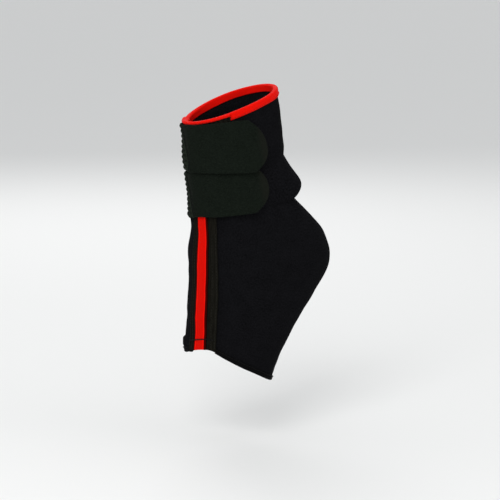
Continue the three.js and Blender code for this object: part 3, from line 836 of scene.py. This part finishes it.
class BraceColours(bpy.types.PropertyGroup):
    """Colours of the cloths and threads."""

    foam: colour_property("Side panels", "sleeve_foam")
    elastic: colour_property("Front panel", "ribbed_elastic")
    red: colour_property("Red tape", "red_tape")
    edge: colour_property("Edge tape", "edge_tape")
    strap: colour_property("Elastic straps", "strap_elastic")
    tab: colour_property("Loop tabs", "tab_loop")
    # The lighter colour that the tabs' ends fade to
    tip: colour_property("Lighter tab tips", default=(0.0108, 0.011, 0.0085))
    hook: colour_property("Hook patches", "hook")
    dark_thread: colour_property("Dark thread", default=(0.006, 0.006, 0.0055))
    # The front panel's edge seams use this lighter thread: partly the thread's own colour, partly a painted
    # highlight along the panel's edge.
    seam_thread: colour_property("Seam thread", default=(0.017, 0.017, 0.013))
    red_thread: colour_property("Red thread", default=(0.62, 0.012, 0.006))


# Pieces


def sleeve_shares(count):
    """Shares down the sleeve: even, rounded at both ends, and closer together at the two creases."""
    even = stations(SLEEVE_SPAN, count, FOAM_ROUND)
    return np.unique(np.concatenate([even, CREASE["upper"] + CREASE_ROWS, CREASE["lower"] + CREASE_ROWS]))


def foam_wall(shares):
    """The foam's thickness: pinched under the bindings at both ends, full further in."""
    deep = np.minimum(shares, 1 - shares) * SIDE_LENGTH
    return lerp(PINCHED_WALL, FOAM_WALL, ease(deep, PINCH_START, PINCH_REACH))


def make_side_panel(name, colours):
    """A foam side panel: from under the front panel's edge to the back seam, where it ends at the plane
    x = 0, and as thick inwards as its wall."""
    panel = SIDE_PANELS[name]
    side = panel["side"]
    shares = sleeve_shares(SLEEVE_ROWS)[:, None]
    across = stations(SIDE_SPAN, SIDE_COLUMNS, FOAM_ROUND)[None, :]
    front = panel_turn(shares, side * (panel_half(shares) - PANEL_LAP))
    turn = lerp(front, side * math.pi, across)
    fall = shares * opening_fall(turn)
    thick = rounding(SLEEVE_SPAN, shares, FOAM_ROUND) * rounding(SIDE_SPAN, across, FOAM_ROUND)
    middle, half = -foam_wall(shares) / 2, foam_wall(shares) / 2 * thick
    outer, inner = sleeve(fall, turn, middle + half), sleeve(fall, turn, middle - half)
    behind = np.cos(turn) < 0
    for grid in (outer, inner):
        grid[..., 0] = np.where(behind, side * np.maximum(side * grid[..., 0], 0), grid[..., 0])
    piece = closed_sheet(name, outer, inner, girth_at(shares, turn), shares * SIDE_LENGTH)
    look = material("jersey_on_foam", knit_material, colours.foam)
    dress(piece, look, "sleeve_foam", panel["node"])


def hem_swell(shares):
    """0 above the hem's stitches and 1 below them, where the panel is folded up behind itself."""
    start, full = HEM_HEIGHT + HEM_STEP_ABOVE, HEM_HEIGHT - HEM_STEP_BELOW
    return ease(shares, 1 - start / PANEL_LENGTH, 1 - full / PANEL_LENGTH)


def make_front_panel(sizes, colours):
    """The ribbed elastic panel: its outer face is lower between the ribs by a cosine across the width."""
    ribs = sizes.panel_ribs
    shares = sleeve_shares(SLEEVE_ROWS)[:, None]
    across = stations(PANEL_WIDTH, ribs * COLUMNS_PER_PANEL_RIB, ELASTIC_ROUND)[None, :]
    turn = panel_turn(shares, (2 * across - 1) * panel_half(shares))
    fall = shares * opening_fall(turn)
    thick = rounding(PANEL_LENGTH, shares, ELASTIC_ROUND) * rounding(PANEL_WIDTH, across, ELASTIC_ROUND)
    rib = sizes.panel_rib / MM * (0.5 * np.cos(2 * math.pi * ribs * across) - 0.5)
    middle, half = (PANEL_IN + PANEL_OUT) / 2, ELASTIC_WALL / 2 * thick
    outer = sleeve(fall, turn, middle + half + rib * thick + PANEL_HEM_SWELL * hem_swell(shares))
    inner = sleeve(fall, turn, middle - half)
    piece = closed_sheet("front_panel_ribbed", outer, inner, across * PANEL_WIDTH, shares * PANEL_LENGTH)
    look = material("rib_elastic", rib_material, colours.elastic)
    dress(piece, look, "ribbed_elastic", "front_panel")


def make_stripe(sizes, colours):
    """The red tape: two raised selvedges, and a step where it passes over the hem's stitches."""
    top = float((FRONT_BINDING_HEIGHT + GAP) / fall_length(0, FRONT_TURN))
    along = stations(PANEL_LENGTH, STRIPE_ROWS, TAPE_ROUND)[:, None]
    shares = lerp(top, 1, along)
    across = stations(STRIPE_WIDTH, STRIPE_COLUMNS, TAPE_ROUND)[None, :]
    turn = panel_turn(shares, (across - 0.5) * STRIPE_WIDTH)
    fall = shares * opening_fall(turn)
    thick = rounding(PANEL_LENGTH, along, TAPE_ROUND) * rounding(STRIPE_WIDTH, across, TAPE_ROUND)
    selvedge = sizes.selvedge / MM * bell(np.abs(across - 0.5), SELVEDGE_SHARE, SELVEDGE_REACH)
    middle, half = (STRIPE_IN + STRIPE_OUT) / 2, TAPE_WALL / 2 * thick
    outer = sleeve(fall, turn, middle + half + selvedge * thick + STRIPE_HEM_SWELL * hem_swell(shares))
    inner = sleeve(fall, turn, middle - half)
    piece = closed_sheet("front_stripe_tape", outer, inner, across * STRIPE_WIDTH, shares * PANEL_LENGTH)
    look = material("red_tape_weave", tape_material, colours.red, 0.92, 0.6, STRIPE_RED_HALF * MM)
    dress(piece, look, "red_tape", "front_stripe")


def binding_profile(height, wall):
    """A tape folded over an edge: two straight legs with rounded ends, joined by half an ellipse. Gives for
    its outside and inside how deep each point lies, its share of the half span, and what is added to that."""
    legs = np.concatenate([[0, 0.1, 0.3, 0.6], np.linspace(min(1, height * 0.7), height, 5)])
    arc = np.linspace(0, math.pi, 15)[1:-1]
    faces = []
    for side in (wall / 2, -wall / 2):
        leg = side * rounding(2 * height, legs / (2 * height), BINDING_ROUND)
        past_edge = np.sin(arc) * (FOLD_CLEARANCE + wall / 2 + side)
        deep = np.concatenate([height - legs, -past_edge, (height - legs)[::-1]])
        span = np.concatenate([np.ones(len(legs)), np.cos(arc), -np.ones(len(legs))])
        extra = np.concatenate([leg, np.cos(arc) * side, -leg[::-1]])
        faces.append((deep, span, extra))
    return faces


def make_binding(name, end, turns, height, wall, low, high, look, slot, node):
    """Carries the folded tape's profile along an edge of the sleeve. low and high are the offsets of the
    faces that it wraps; the cloth's own lengths run around the profile and along the edge."""
    turn = turns[:, None]
    edge = opening_fall(turn) if end else 0.0
    length = fall_length(end, turn)
    middle = np.reshape((low + high) / 2, (-1, 1))
    half = np.reshape((high - low) / 2 + GAP + wall / 2, (-1, 1))
    grids = []
    for deep, span, extra in binding_profile(height, wall):
        into = deep / length
        grids.append(sleeve(edge - into if end else into, turn, middle + half * span + extra))
    outer, inner = grids
    piece = closed_sheet(name, outer, inner, run_along(outer[0])[None, :], run_along(outer[:, 0])[:, None])
    dress(piece, look, slot, node)


def beside_panel(end, side):
    """The turn just past the front panel's edge, at the rim or at the foot opening."""
    girth = side * (panel_half(end) + GAP)
    turn = panel_turn(end, girth)
    return float(panel_turn(opening_fall(turn), girth) if end else turn)


def around_back(end, count):
    """Turns from the front panel's outer edge round the back to its inner edge."""
    return np.linspace(beside_panel(end, 1), beside_panel(end, -1) + 2 * math.pi, count)


def make_bindings(colours):
    """The rim's red tape, the front panel's red tape and the black tape of the foot opening."""
    # Painted light: the bindings' red is made 1.2 times lighter than the stripe's, to make up for the lamps
    # lighting the rim less.
    red = material("red_binding_weave", tape_material, shade(colours.red, 1.2), 0.92)
    black = material("edge_tape_weave", tape_material, colours.edge, 0.7, 0.8)
    make_binding("rim_tape", 0, around_back(0.0, RIM_ROWS), RIM_BINDING_HEIGHT, TAPE_WALL,
                 -PINCHED_WALL, 0.0, red, "red_tape", "rim_binding")
    half = float(panel_half(0.0))
    girth = np.linspace(-half, half, FRONT_ROWS)
    over_foam = ease(np.abs(girth), half - PANEL_LAP - LAP_SLOPE, half - PANEL_LAP)
    make_binding("front_tape", 0, turn_at(0.0, girth), FRONT_BINDING_HEIGHT, TAPE_WALL,
                 -PINCHED_WALL * over_foam, PANEL_OUT, red, "red_tape", "front_binding")
    make_binding("foot_tape", 1, around_back(1.0, FOOT_ROWS), FOOT_BINDING_HEIGHT, EDGE_TAPE_WALL,
                 -PINCHED_WALL, 0.0, black, "edge_tape", "foot_binding")


# A strap: the fall where its lengths are measured, its tab's length, and whether it is the upper one
UPPER = {"fall": UPPER_FALL, "length": UPPER_TAB_LENGTH, "upper": True}
LOWER = {"fall": LOWER_FALL, "length": LOWER_TAB_LENGTH, "upper": False}


def upper_edges(along):
    """Lower and upper edge of the upper tab."""
    middle = UPPER_LEVEL + TAB_WIDTH * curve(along, TAB_ALONG, UPPER_RISE)
    width = lerp(STRAP_WIDTH, TAB_WIDTH, curve(along, TAB_ALONG, UPPER_WIDEN))
    return middle - width / 2, middle + width / 2


def lower_edges(along):
    """Lower and upper edge of the lower tab, whose top laps under the upper tab."""
    lap = lerp(-STRAP_SPACING, TAB_LAP, curve(along, LAP_ALONG, LOWER_LAP))
    width = lerp(STRAP_WIDTH, TAB_WIDTH, curve(along, TAB_ALONG, LOWER_WIDEN))
    top = upper_edges(along)[0] + lap
    return top - width, top


def strap_edges(strap, along):
    """The strap's two edges at a share of the tab's length."""
    return upper_edges(along) if strap["upper"] else lower_edges(along)


def tab_share(strap, girth):
    """Share of the tab's length at a girth."""
    return np.clip((girth + JOIN_BACK_LENGTH) / (strap["length"] + JOIN_BACK_LENGTH), 0, 1)


def hook_from(strap):
    """Girth where the hook patch starts."""
    return strap["length"] - TAB_POINT - HOOK_LENGTH / 2


def soft_max(values, softness=0.35):
    """The largest of several arrays, rounded where they cross: the log of the sum of their exponentials."""
    stack = np.stack(np.broadcast_arrays(*values)) / softness
    top = stack.max(0)
    return softness * (top + np.log(np.exp(stack - top).sum(0)))


def strap_lift(strap, fall, girth, height, turn):
    """How far a strap's inner face lies off the sleeve: each thing under it holds it up by its own height,
    and beside that thing the strap slopes down to the sleeve."""
    def beside(low, high, x):
        return np.maximum(np.maximum(low - x, x - high), 0)

    rim = bare(0.0, turn)[..., 2]
    over_panel = np.abs(girth) < panel_half(0.0) + GAP
    under = [
        (0.0, np.zeros_like(girth)),
        (PANEL_OUT, beside(-panel_half(fall), panel_half(fall), girth)),
        (STRIPE_OUT, beside(-STRIPE_WIDTH / 2, STRIPE_WIDTH / 2, girth)),
        (HOOK_OUT, beside(hook_from(strap), hook_from(strap) + HOOK_LENGTH, girth)),
        (np.where(over_panel, PANEL_OUT + GAP + TAPE_WALL, GAP + TAPE_WALL),
         np.maximum(rim - np.where(over_panel, FRONT_BINDING_HEIGHT, RIM_BINDING_HEIGHT) - height, 0)),
    ]
    if strap["upper"]:
        edge = lower_edges(tab_share(LOWER, girth))[1]
        lap_start = lerp(-JOIN_BACK_LENGTH, LOWER_TAB_LENGTH, LAP_ALONG[1])
        away = np.hypot(np.maximum(height - edge, 0), np.maximum(lap_start - girth, 0))
        under.append((strap_lift(LOWER, fall, girth, np.minimum(height, edge), turn) + STRAP_WALL, away))
    holds = [top - BRIDGE_SLOPE * np.maximum(away - 1, 0) for top, away in under]
    return STRAP_CLEARANCE + soft_max(holds)


def smoothed(grid, passes):
    """A grid averaged with its neighbours along both directions, a number of times."""
    for _ in range(passes):
        for axis in (0, 1):
            line = np.pad(np.moveaxis(grid, axis, 0), ((1, 1), (0, 0)), mode="edge")
            grid = np.moveaxis((line[:-2] + 2 * line[1:-1] + line[2:]) / 4, 0, axis)
    return grid


def band_place(strap, girth, v):
    """Fall, turn and inner offset of a strap at a girth and a share v of its width, counted upwards."""
    turn = turn_at(strap["fall"], girth)
    share = tab_share(strap, girth)
    low, high = strap_edges(strap, share)
    height = lerp(low, high, v)
    fall = fall_at(turn, height)
    loose = LOOSE_EDGE * (1 - v) ** 2 * ease(share, LOOSE_START, LOOSE_FULL)
    return fall, turn, strap_lift(strap, fall, girth_at(fall, turn), height, turn) + loose


def join_girth(v):
    """Girth of the slanted seam between the elastic and the tab."""
    return -JOIN_BACK_LENGTH - (v - 0.5) * JOIN_SLANT


def make_band(name, strap, columns, ends, relief):
    """A strap or tab as a closed sheet between the two girths that ends(v) gives at a share v of its width;
    relief(girth, v) is added to its face."""
    along = stations(BAND_SPAN, BAND_ROWS, STRAP_ROUND)[:, None]
    v = stations(STRAP_WIDTH, columns, STRAP_ROUND)[None, :]
    start, stop = ends(v)
    girth = lerp(start, stop, along)
    fall, turn, lift = band_place(strap, girth, v)
    lift = smoothed(lift, SMOOTHING_PASSES)
    thick = rounding(BAND_SPAN, along, STRAP_ROUND) * rounding(STRAP_WIDTH, v, STRAP_ROUND)
    middle, half = lift + STRAP_WALL / 2, STRAP_WALL / 2 * thick
    low, high = strap_edges(strap, tab_share(strap, girth))
    outer = sleeve(fall, turn, middle + half + relief(girth, v) * thick)
    inner = sleeve(fall, turn, middle - half)
    return closed_sheet(name, outer, inner, girth, v * (high - low))


def strap_relief(ribs, height):
    """A strap's face: cosine ribs along it, flattened where its back end is sewn and where the tab begins."""
    def relief(girth, v):
        sewn = np.maximum(bell(girth, -STRAP_BACK_LENGTH, END_SEWN_REACH),
                          bell(girth, join_girth(v), JOIN_SEWN_REACH))
        rib = height * (0.5 * np.cos(2 * math.pi * ribs * v + math.pi) - 0.5)
        return (1 - SEWN_FLATTENING * sewn) * (rib + RIB_RAISE) - SEWN_DIP * sewn
    return relief


def make_straps(sizes, colours):
    """The two ribbed elastic straps."""
    ribs = sizes.strap_ribs
    look = material("strap_elastic_weave", strap_material, colours.strap, STRAP_WIDTH / ribs * MM)

    def ends(v):
        return -STRAP_BACK_LENGTH, join_girth(v) - GAP / 2

    for name, strap in (("upper_strap", UPPER), ("lower_strap", LOWER)):
        piece = make_band(f"{name}_elastic", strap, ribs * COLUMNS_PER_STRAP_RIB, ends,
                          strap_relief(ribs, sizes.strap_rib / MM))
        dress(piece, look, "strap_elastic", name)


def tab_relief(nap):
    """A tab's face: lumps of nap as the mean of three sines of the girth and the width, a raised end, and a
    shallow channel where that end is sewn."""
    def relief(girth, v):
        lumps = sum(np.sin(along * girth + across * v + phase) for along, across, phase in NAP_WAVES)
        away = girth - join_girth(v)
        edge = TAB_EDGE["height"] * bell(away, TAB_EDGE["girth"], TAB_EDGE["reach"])
        channel = TAB_CHANNEL["depth"] * bell(away, TAB_CHANNEL["girth"], TAB_CHANNEL["reach"])
        return nap / len(NAP_WAVES) * lumps + edge - channel
    return relief


def make_tabs(sizes, colours):
    """The two loop tabs: the free end is a parabola across the width."""
    for name, strap in (("upper_tab", UPPER), ("lower_tab", LOWER)):
        end = strap["length"] * MM
        look = material(f"{name}_pile", pile_material, colours.tab, tuple(colours.tip),
                        end - LIGHTER_TIP_START * MM, end - LIGHTER_TIP_END * MM)

        def ends(v):
            return join_girth(v) + GAP / 2, strap["length"] - TAB_POINT * (2 * v - 1) ** 2

        piece = make_band(f"{name}_loop", strap, TAB_COLUMNS, ends, tab_relief(sizes.nap / MM))
        dress(piece, look, "tab_loop", name)


def make_hook_patches(colours):
    """The hook patches behind the tabs' ends."""
    look = material("hook_tape", hook_material, colours.hook)
    for name, strap in (("upper_hook_patch", UPPER), ("lower_hook_patch", LOWER)):
        along = stations(HOOK_LENGTH, HOOK_ROWS, HOOK_ROUND)[:, None]
        v = stations(HOOK_HEIGHT, HOOK_COLUMNS, HOOK_ROUND)[None, :]
        girth = hook_from(strap) + along * HOOK_LENGTH
        turn = turn_at(strap["fall"], girth)
        low, high = strap_edges(strap, tab_share(strap, girth))
        bottom = low + HOOK_MARGIN + (TAB_LAP if strap["upper"] else 0)
        top = high - HOOK_MARGIN - (0 if strap["upper"] else TAB_LAP)
        fall = fall_at(turn, lerp(bottom, top, v))
        thick = rounding(HOOK_LENGTH, along, HOOK_ROUND) * rounding(HOOK_HEIGHT, v, HOOK_ROUND)
        middle, half = (GAP + HOOK_OUT) / 2, HOOK_WALL / 2 * thick
        piece = closed_sheet(f"{name}_tape", sleeve(fall, turn, middle + half),
                             sleeve(fall, turn, middle - half), girth, v * HOOK_HEIGHT)
        dress(piece, look, "hook", name)


# Stitching


def panel_seam(inset, side):
    """place(s, out) down the front panel, a girth in from its edge, between the seam's two falls."""
    first, last = PANEL_SEAM_FALLS

    def place(s, out):
        share = lerp(first, last, s / ((last - first) * PANEL_LENGTH))
        turn = panel_turn(share, side * (panel_half(share) - inset))
        return sleeve(share * opening_fall(turn), turn, PANEL_OUT - PANEL_STITCH_SINK + out)
    return place


def hem_seam(start):
    """place(s, out) across the front panel over its hem, from a girth start, and over the stripe."""
    share = 1 - HEM_HEIGHT / PANEL_LENGTH

    def place(s, out):
        girth = s + start
        turn = panel_turn(share, girth)
        under = np.where(np.abs(girth) < STRIPE_WIDTH / 2 + GAP, STRIPE_OUT, PANEL_OUT)
        return sleeve(share * opening_fall(turn), turn, under + out)
    return place


def edge_seam(end, turns, deep, out_face):
    """place(s, out) along a binding, a depth in from the edge, with s measured along it, and its length."""
    run = run_along(sleeve(opening_fall(turns) if end else np.zeros_like(turns), turns, 0.0))

    def place(s, out):
        turn = np.interp(s, run, turns)
        into = deep / fall_length(end, turn)
        return sleeve(opening_fall(turn) - into if end else into, turn, out_face + out)
    return place, run[-1]


def across_strap(strap, girth_of):
    """place(s, out) across a strap, at the girth that girth_of gives for each share v of the width; a small
    share stays clear at both edges."""
    def place(s, out):
        v = lerp(SEAM_CLEAR_SHARE, 1 - SEAM_CLEAR_SHARE, s / STRAP_WIDTH)
        fall, turn, lift = band_place(strap, girth_of(v), v)
        return sleeve(fall, turn, lift + STRAP_WALL + out)
    return place


def girth_slope(fall, step=0.02):
    """Millimetres of girth for one radian of turn at the back."""
    return np.linalg.norm(bare(fall, math.pi + step) - bare(fall, math.pi - step), axis=-1) / (2 * step)


def back_seam():
    """The zigzag down the back, outside and inside: a triangle wave of turns over the fall, and its lift."""
    share = np.linspace(*BACK_SEAM_FALLS, ZIGZAG_POINTS)
    zigzag = np.abs(np.mod(share * ZIGZAGS, 1) * 2 - 1) * 2 - 1
    turn = np.full_like(share, math.pi) + zigzag * ZIGZAG_REACH / girth_slope(share)
    fall = share * opening_fall(turn)
    outside = sleeve(fall, turn, ZIGZAG_RISE)
    inside = sleeve(fall, turn, -foam_wall(share) - ZIGZAG_RISE)
    return np.stack([outside, inside]), np.stack([outward(fall, turn)] * 2)


def make_stitching(sizes, colours):
    """Stitches as joined arched threads, and the back seam's flat zigzag thread."""
    radius, stitch, pitch = sizes.thread / MM / 2, sizes.stitch / MM, sizes.pitch / MM
    red = material("red_thread", thread_material, colours.red_thread)
    dark = material("dark_thread", thread_material, colours.dark_thread)
    light = material("seam_thread", thread_material, colours.seam_thread)

    def row(place, length, rise=STITCH_RISE):
        return stitch_line(place, length, pitch, stitch, rise)

    def sew(name, look, slot, *rows):
        dress(threads(name, *join_lines(*rows), radius), look, slot)

    length = (PANEL_SEAM_FALLS[1] - PANEL_SEAM_FALLS[0]) * PANEL_LENGTH
    # The lighter thread at the panel's edges is partly a painted highlight along the edge.
    sew("panel_seam_thread", light, "ribbed_elastic", *(
        row(panel_seam(inset, side), length, PANEL_STITCH_RISE)
        for side in (-1, 1) for inset in PANEL_SEAM_INSETS))

    half = float(panel_half(1.0)) - HEM_SEAM_INSET
    hem = stitch_line(hem_seam(-half), 2 * half, HEM_PITCH, HEM_STITCH, HEM_STITCH_RISE)
    dress(threads("hem_thread", *hem, radius * HEM_THREAD_FACTOR), dark, "ribbed_elastic")

    rim = edge_seam(0, around_back(0.0, EDGE_SEAM_POINTS), RIM_BINDING_HEIGHT - RIM_SEAM_INSET,
                    GAP + TAPE_WALL)
    half_top = float(panel_half(0.0)) - FRONT_SEAM_MARGIN
    front = edge_seam(0, turn_at(0.0, np.linspace(-half_top, half_top, FRONT_SEAM_POINTS)),
                      FRONT_BINDING_HEIGHT - TAPE_SEAM_INSET, PANEL_OUT + GAP + TAPE_WALL)
    foot = edge_seam(1, around_back(1.0, EDGE_SEAM_POINTS), FOOT_BINDING_HEIGHT - TAPE_SEAM_INSET,
                     GAP + EDGE_TAPE_WALL)
    sew("rim_thread", red, "red_tape", row(*rim), row(*front))
    sew("foot_thread", dark, "edge_tape", row(*foot))

    sew("join_thread", dark, "tab_loop", *(
        row(across_strap(strap, lambda v: join_girth(v) + inset), STRAP_WIDTH)
        for inset in JOIN_SEAM_INSETS for strap in (UPPER, LOWER)))
    sew("strap_end_thread", dark, "strap_elastic", *(
        row(across_strap(strap, lambda v: inset - STRAP_BACK_LENGTH), STRAP_WIDTH)
        for inset in STRAP_END_SEAM_INSETS for strap in (UPPER, LOWER)))
    dress(threads("back_seam_thread", *back_seam(), radius), dark, "sleeve_foam")


# Stage


CAMERA_AZIMUTH = math.radians(60)
CAMERA_ELEVATION = math.radians(9)
CAMERA_DISTANCE = 1.5
METRES_PER_PIXEL = 0.00082
IMAGE_SIZE = 500
ORIGIN_PIXEL = (240, 240)
SENSOR = 36.0

# Lights: azimuth and elevation in degrees, distance and size in metres, power in watts
LIGHTS = {
    "key_light": (44, 38, 1.6, 0.8, 11),
    "fill_light": (130, 20, 1.8, 1.2, 3),
    "back_light": (250, 35, 1.8, 1.0, 7),
}
SKY_COLOUR = (0.97, 0.985, 1, 1)
SKY_STRENGTH = 0.72
FLOOR_COLOUR = (0.84, 0.84, 0.83, 1)
FLOOR_REACH = 30.0
FLOOR_HEIGHT = -0.165


def direction(azimuth, elevation):
    """The unit vector towards a camera or light."""
    return np.array([math.sin(azimuth) * math.cos(elevation), -math.cos(azimuth) * math.cos(elevation),
                     math.sin(elevation)])


def aim(thing, place, target):
    """Puts a camera or light at a place and turns its -Z towards the target."""
    thing.location = place
    thing.rotation_euler = Vector(target - place).to_track_quat("-Z", "Y").to_euler()


def add_light(name, azimuth, elevation, distance, size, power):
    """A square area light that looks at the brace."""
    light = bpy.data.lights.new(name, "AREA")
    light.size = size
    light.energy = power
    lamp = bpy.data.objects.new(name, light)
    bpy.context.scene.collection.objects.link(lamp)
    aim(lamp, direction(math.radians(azimuth), math.radians(elevation)) * distance, np.zeros(3))


def make_stage():
    """The camera at the photograph's angle, soft lights and a plain pale floor."""
    scene = bpy.context.scene
    towards = direction(CAMERA_AZIMUTH, CAMERA_ELEVATION)
    right = np.array([math.cos(CAMERA_AZIMUTH), math.sin(CAMERA_AZIMUTH), 0])
    up = np.cross(towards, right)
    target = METRES_PER_PIXEL * ((IMAGE_SIZE / 2 - ORIGIN_PIXEL[0]) * right
                                 - (IMAGE_SIZE / 2 - ORIGIN_PIXEL[1]) * up)
    camera = bpy.data.objects.new("camera", bpy.data.cameras.new("camera"))
    camera.data.sensor_width = SENSOR
    camera.data.lens = CAMERA_DISTANCE / METRES_PER_PIXEL / IMAGE_SIZE * SENSOR
    scene.collection.objects.link(camera)
    aim(camera, target + towards * CAMERA_DISTANCE, target)
    scene.camera = camera

    signs = ((-1, -1), (1, -1), (1, 1), (-1, 1))
    mesh = bpy.data.meshes.new("floor")
    mesh.from_pydata([(x * FLOOR_REACH, y * FLOOR_REACH, FLOOR_HEIGHT) for x, y in signs], [], [(0, 1, 2, 3)])
    floor = bpy.data.objects.new("floor", mesh)
    scene.collection.objects.link(floor)
    paper = bpy.data.materials.new("floor_paper")
    paper.use_nodes = True
    shader = paper.node_tree.nodes["Principled BSDF"]
    shader.inputs["Base Color"].default_value = FLOOR_COLOUR
    shader.inputs["Roughness"].default_value = 0.9
    mesh.materials.append(paper)

    scene.world = bpy.data.worlds.new("studio")
    scene.world.use_nodes = True
    sky = scene.world.node_tree.nodes["Background"]
    sky.inputs["Color"].default_value = SKY_COLOUR
    sky.inputs["Strength"].default_value = SKY_STRENGTH
    for name, values in LIGHTS.items():
        add_light(name, *values)
    scene.view_settings.view_transform = "Standard"


# Add-on


class BRACE_OT_side_panels(bpy.types.Operator):
    """Make the two foam side panels"""

    bl_idname = "brace.side_panels"
    bl_label = "Side Panels"

    def execute(self, context):
        for name in SIDE_PANELS:
            make_side_panel(name, context.scene.brace_colours)
        return {"FINISHED"}


class BRACE_OT_front_panel(bpy.types.Operator):
    """Make the ribbed front panel and its red tape"""

    bl_idname = "brace.front_panel"
    bl_label = "Front Panel"

    def execute(self, context):
        make_front_panel(context.scene.brace_sizes, context.scene.brace_colours)
        make_stripe(context.scene.brace_sizes, context.scene.brace_colours)
        return {"FINISHED"}


class BRACE_OT_bindings(bpy.types.Operator):
    """Make the folded tapes of the rim and the foot opening"""

    bl_idname = "brace.bindings"
    bl_label = "Bindings"

    def execute(self, context):
        make_bindings(context.scene.brace_colours)
        return {"FINISHED"}


class BRACE_OT_straps(bpy.types.Operator):
    """Make the two elastic straps"""

    bl_idname = "brace.straps"
    bl_label = "Elastic Straps"

    def execute(self, context):
        make_straps(context.scene.brace_sizes, context.scene.brace_colours)
        return {"FINISHED"}


class BRACE_OT_tabs(bpy.types.Operator):
    """Make the two loop tabs and the hook patches behind them"""

    bl_idname = "brace.tabs"
    bl_label = "Tabs"

    def execute(self, context):
        make_tabs(context.scene.brace_sizes, context.scene.brace_colours)
        make_hook_patches(context.scene.brace_colours)
        return {"FINISHED"}


class BRACE_OT_stitching(bpy.types.Operator):
    """Make the stitches of all seams"""

    bl_idname = "brace.stitching"
    bl_label = "Stitching"

    def execute(self, context):
        make_stitching(context.scene.brace_sizes, context.scene.brace_colours)
        return {"FINISHED"}


class BRACE_OT_stage(bpy.types.Operator):
    """Make the camera, the lights and the floor"""

    bl_idname = "brace.stage"
    bl_label = "Stage"

    def execute(self, context):
        make_stage()
        return {"FINISHED"}


OPERATORS = (
    BRACE_OT_stage,
    BRACE_OT_side_panels,
    BRACE_OT_front_panel,
    BRACE_OT_bindings,
    BRACE_OT_straps,
    BRACE_OT_tabs,
    BRACE_OT_stitching,
)


class BRACE_PT_sidebar(bpy.types.Panel):
    """Lists the brace's pieces, sizes and colours"""

    bl_idname = "BRACE_PT_sidebar"
    bl_label = "Ankle Brace"
    bl_space_type = "VIEW_3D"
    bl_region_type = "UI"
    bl_category = "Brace"

    def draw(self, context):
        layout = self.layout
        for operator in OPERATORS:
            layout.operator(operator.bl_idname)
        for group in (context.scene.brace_sizes, context.scene.brace_colours):
            for name in group.bl_rna.properties.keys():
                if name not in ("rna_type", "name"):
                    layout.prop(group, name)


CLASSES = (BraceSizes, BraceColours, *OPERATORS, BRACE_PT_sidebar)


def register():
    """Registers the classes and the scene's two groups of properties."""
    for each in CLASSES:
        bpy.utils.register_class(each)
    bpy.types.Scene.brace_sizes = bpy.props.PointerProperty(type=BraceSizes)
    bpy.types.Scene.brace_colours = bpy.props.PointerProperty(type=BraceColours)


def unregister():
    """Takes them away again."""
    del bpy.types.Scene.brace_colours
    del bpy.types.Scene.brace_sizes
    for each in reversed(CLASSES):
        bpy.utils.unregister_class(each)


def main():
    """Builds the whole brace and its stage."""
    register()
    bpy.ops.brace.stage()
    bpy.ops.brace.side_panels()
    bpy.ops.brace.front_panel()
    bpy.ops.brace.bindings()
    bpy.ops.brace.straps()
    bpy.ops.brace.tabs()
    bpy.ops.brace.stitching()


if __name__ == "__main__":
    main()
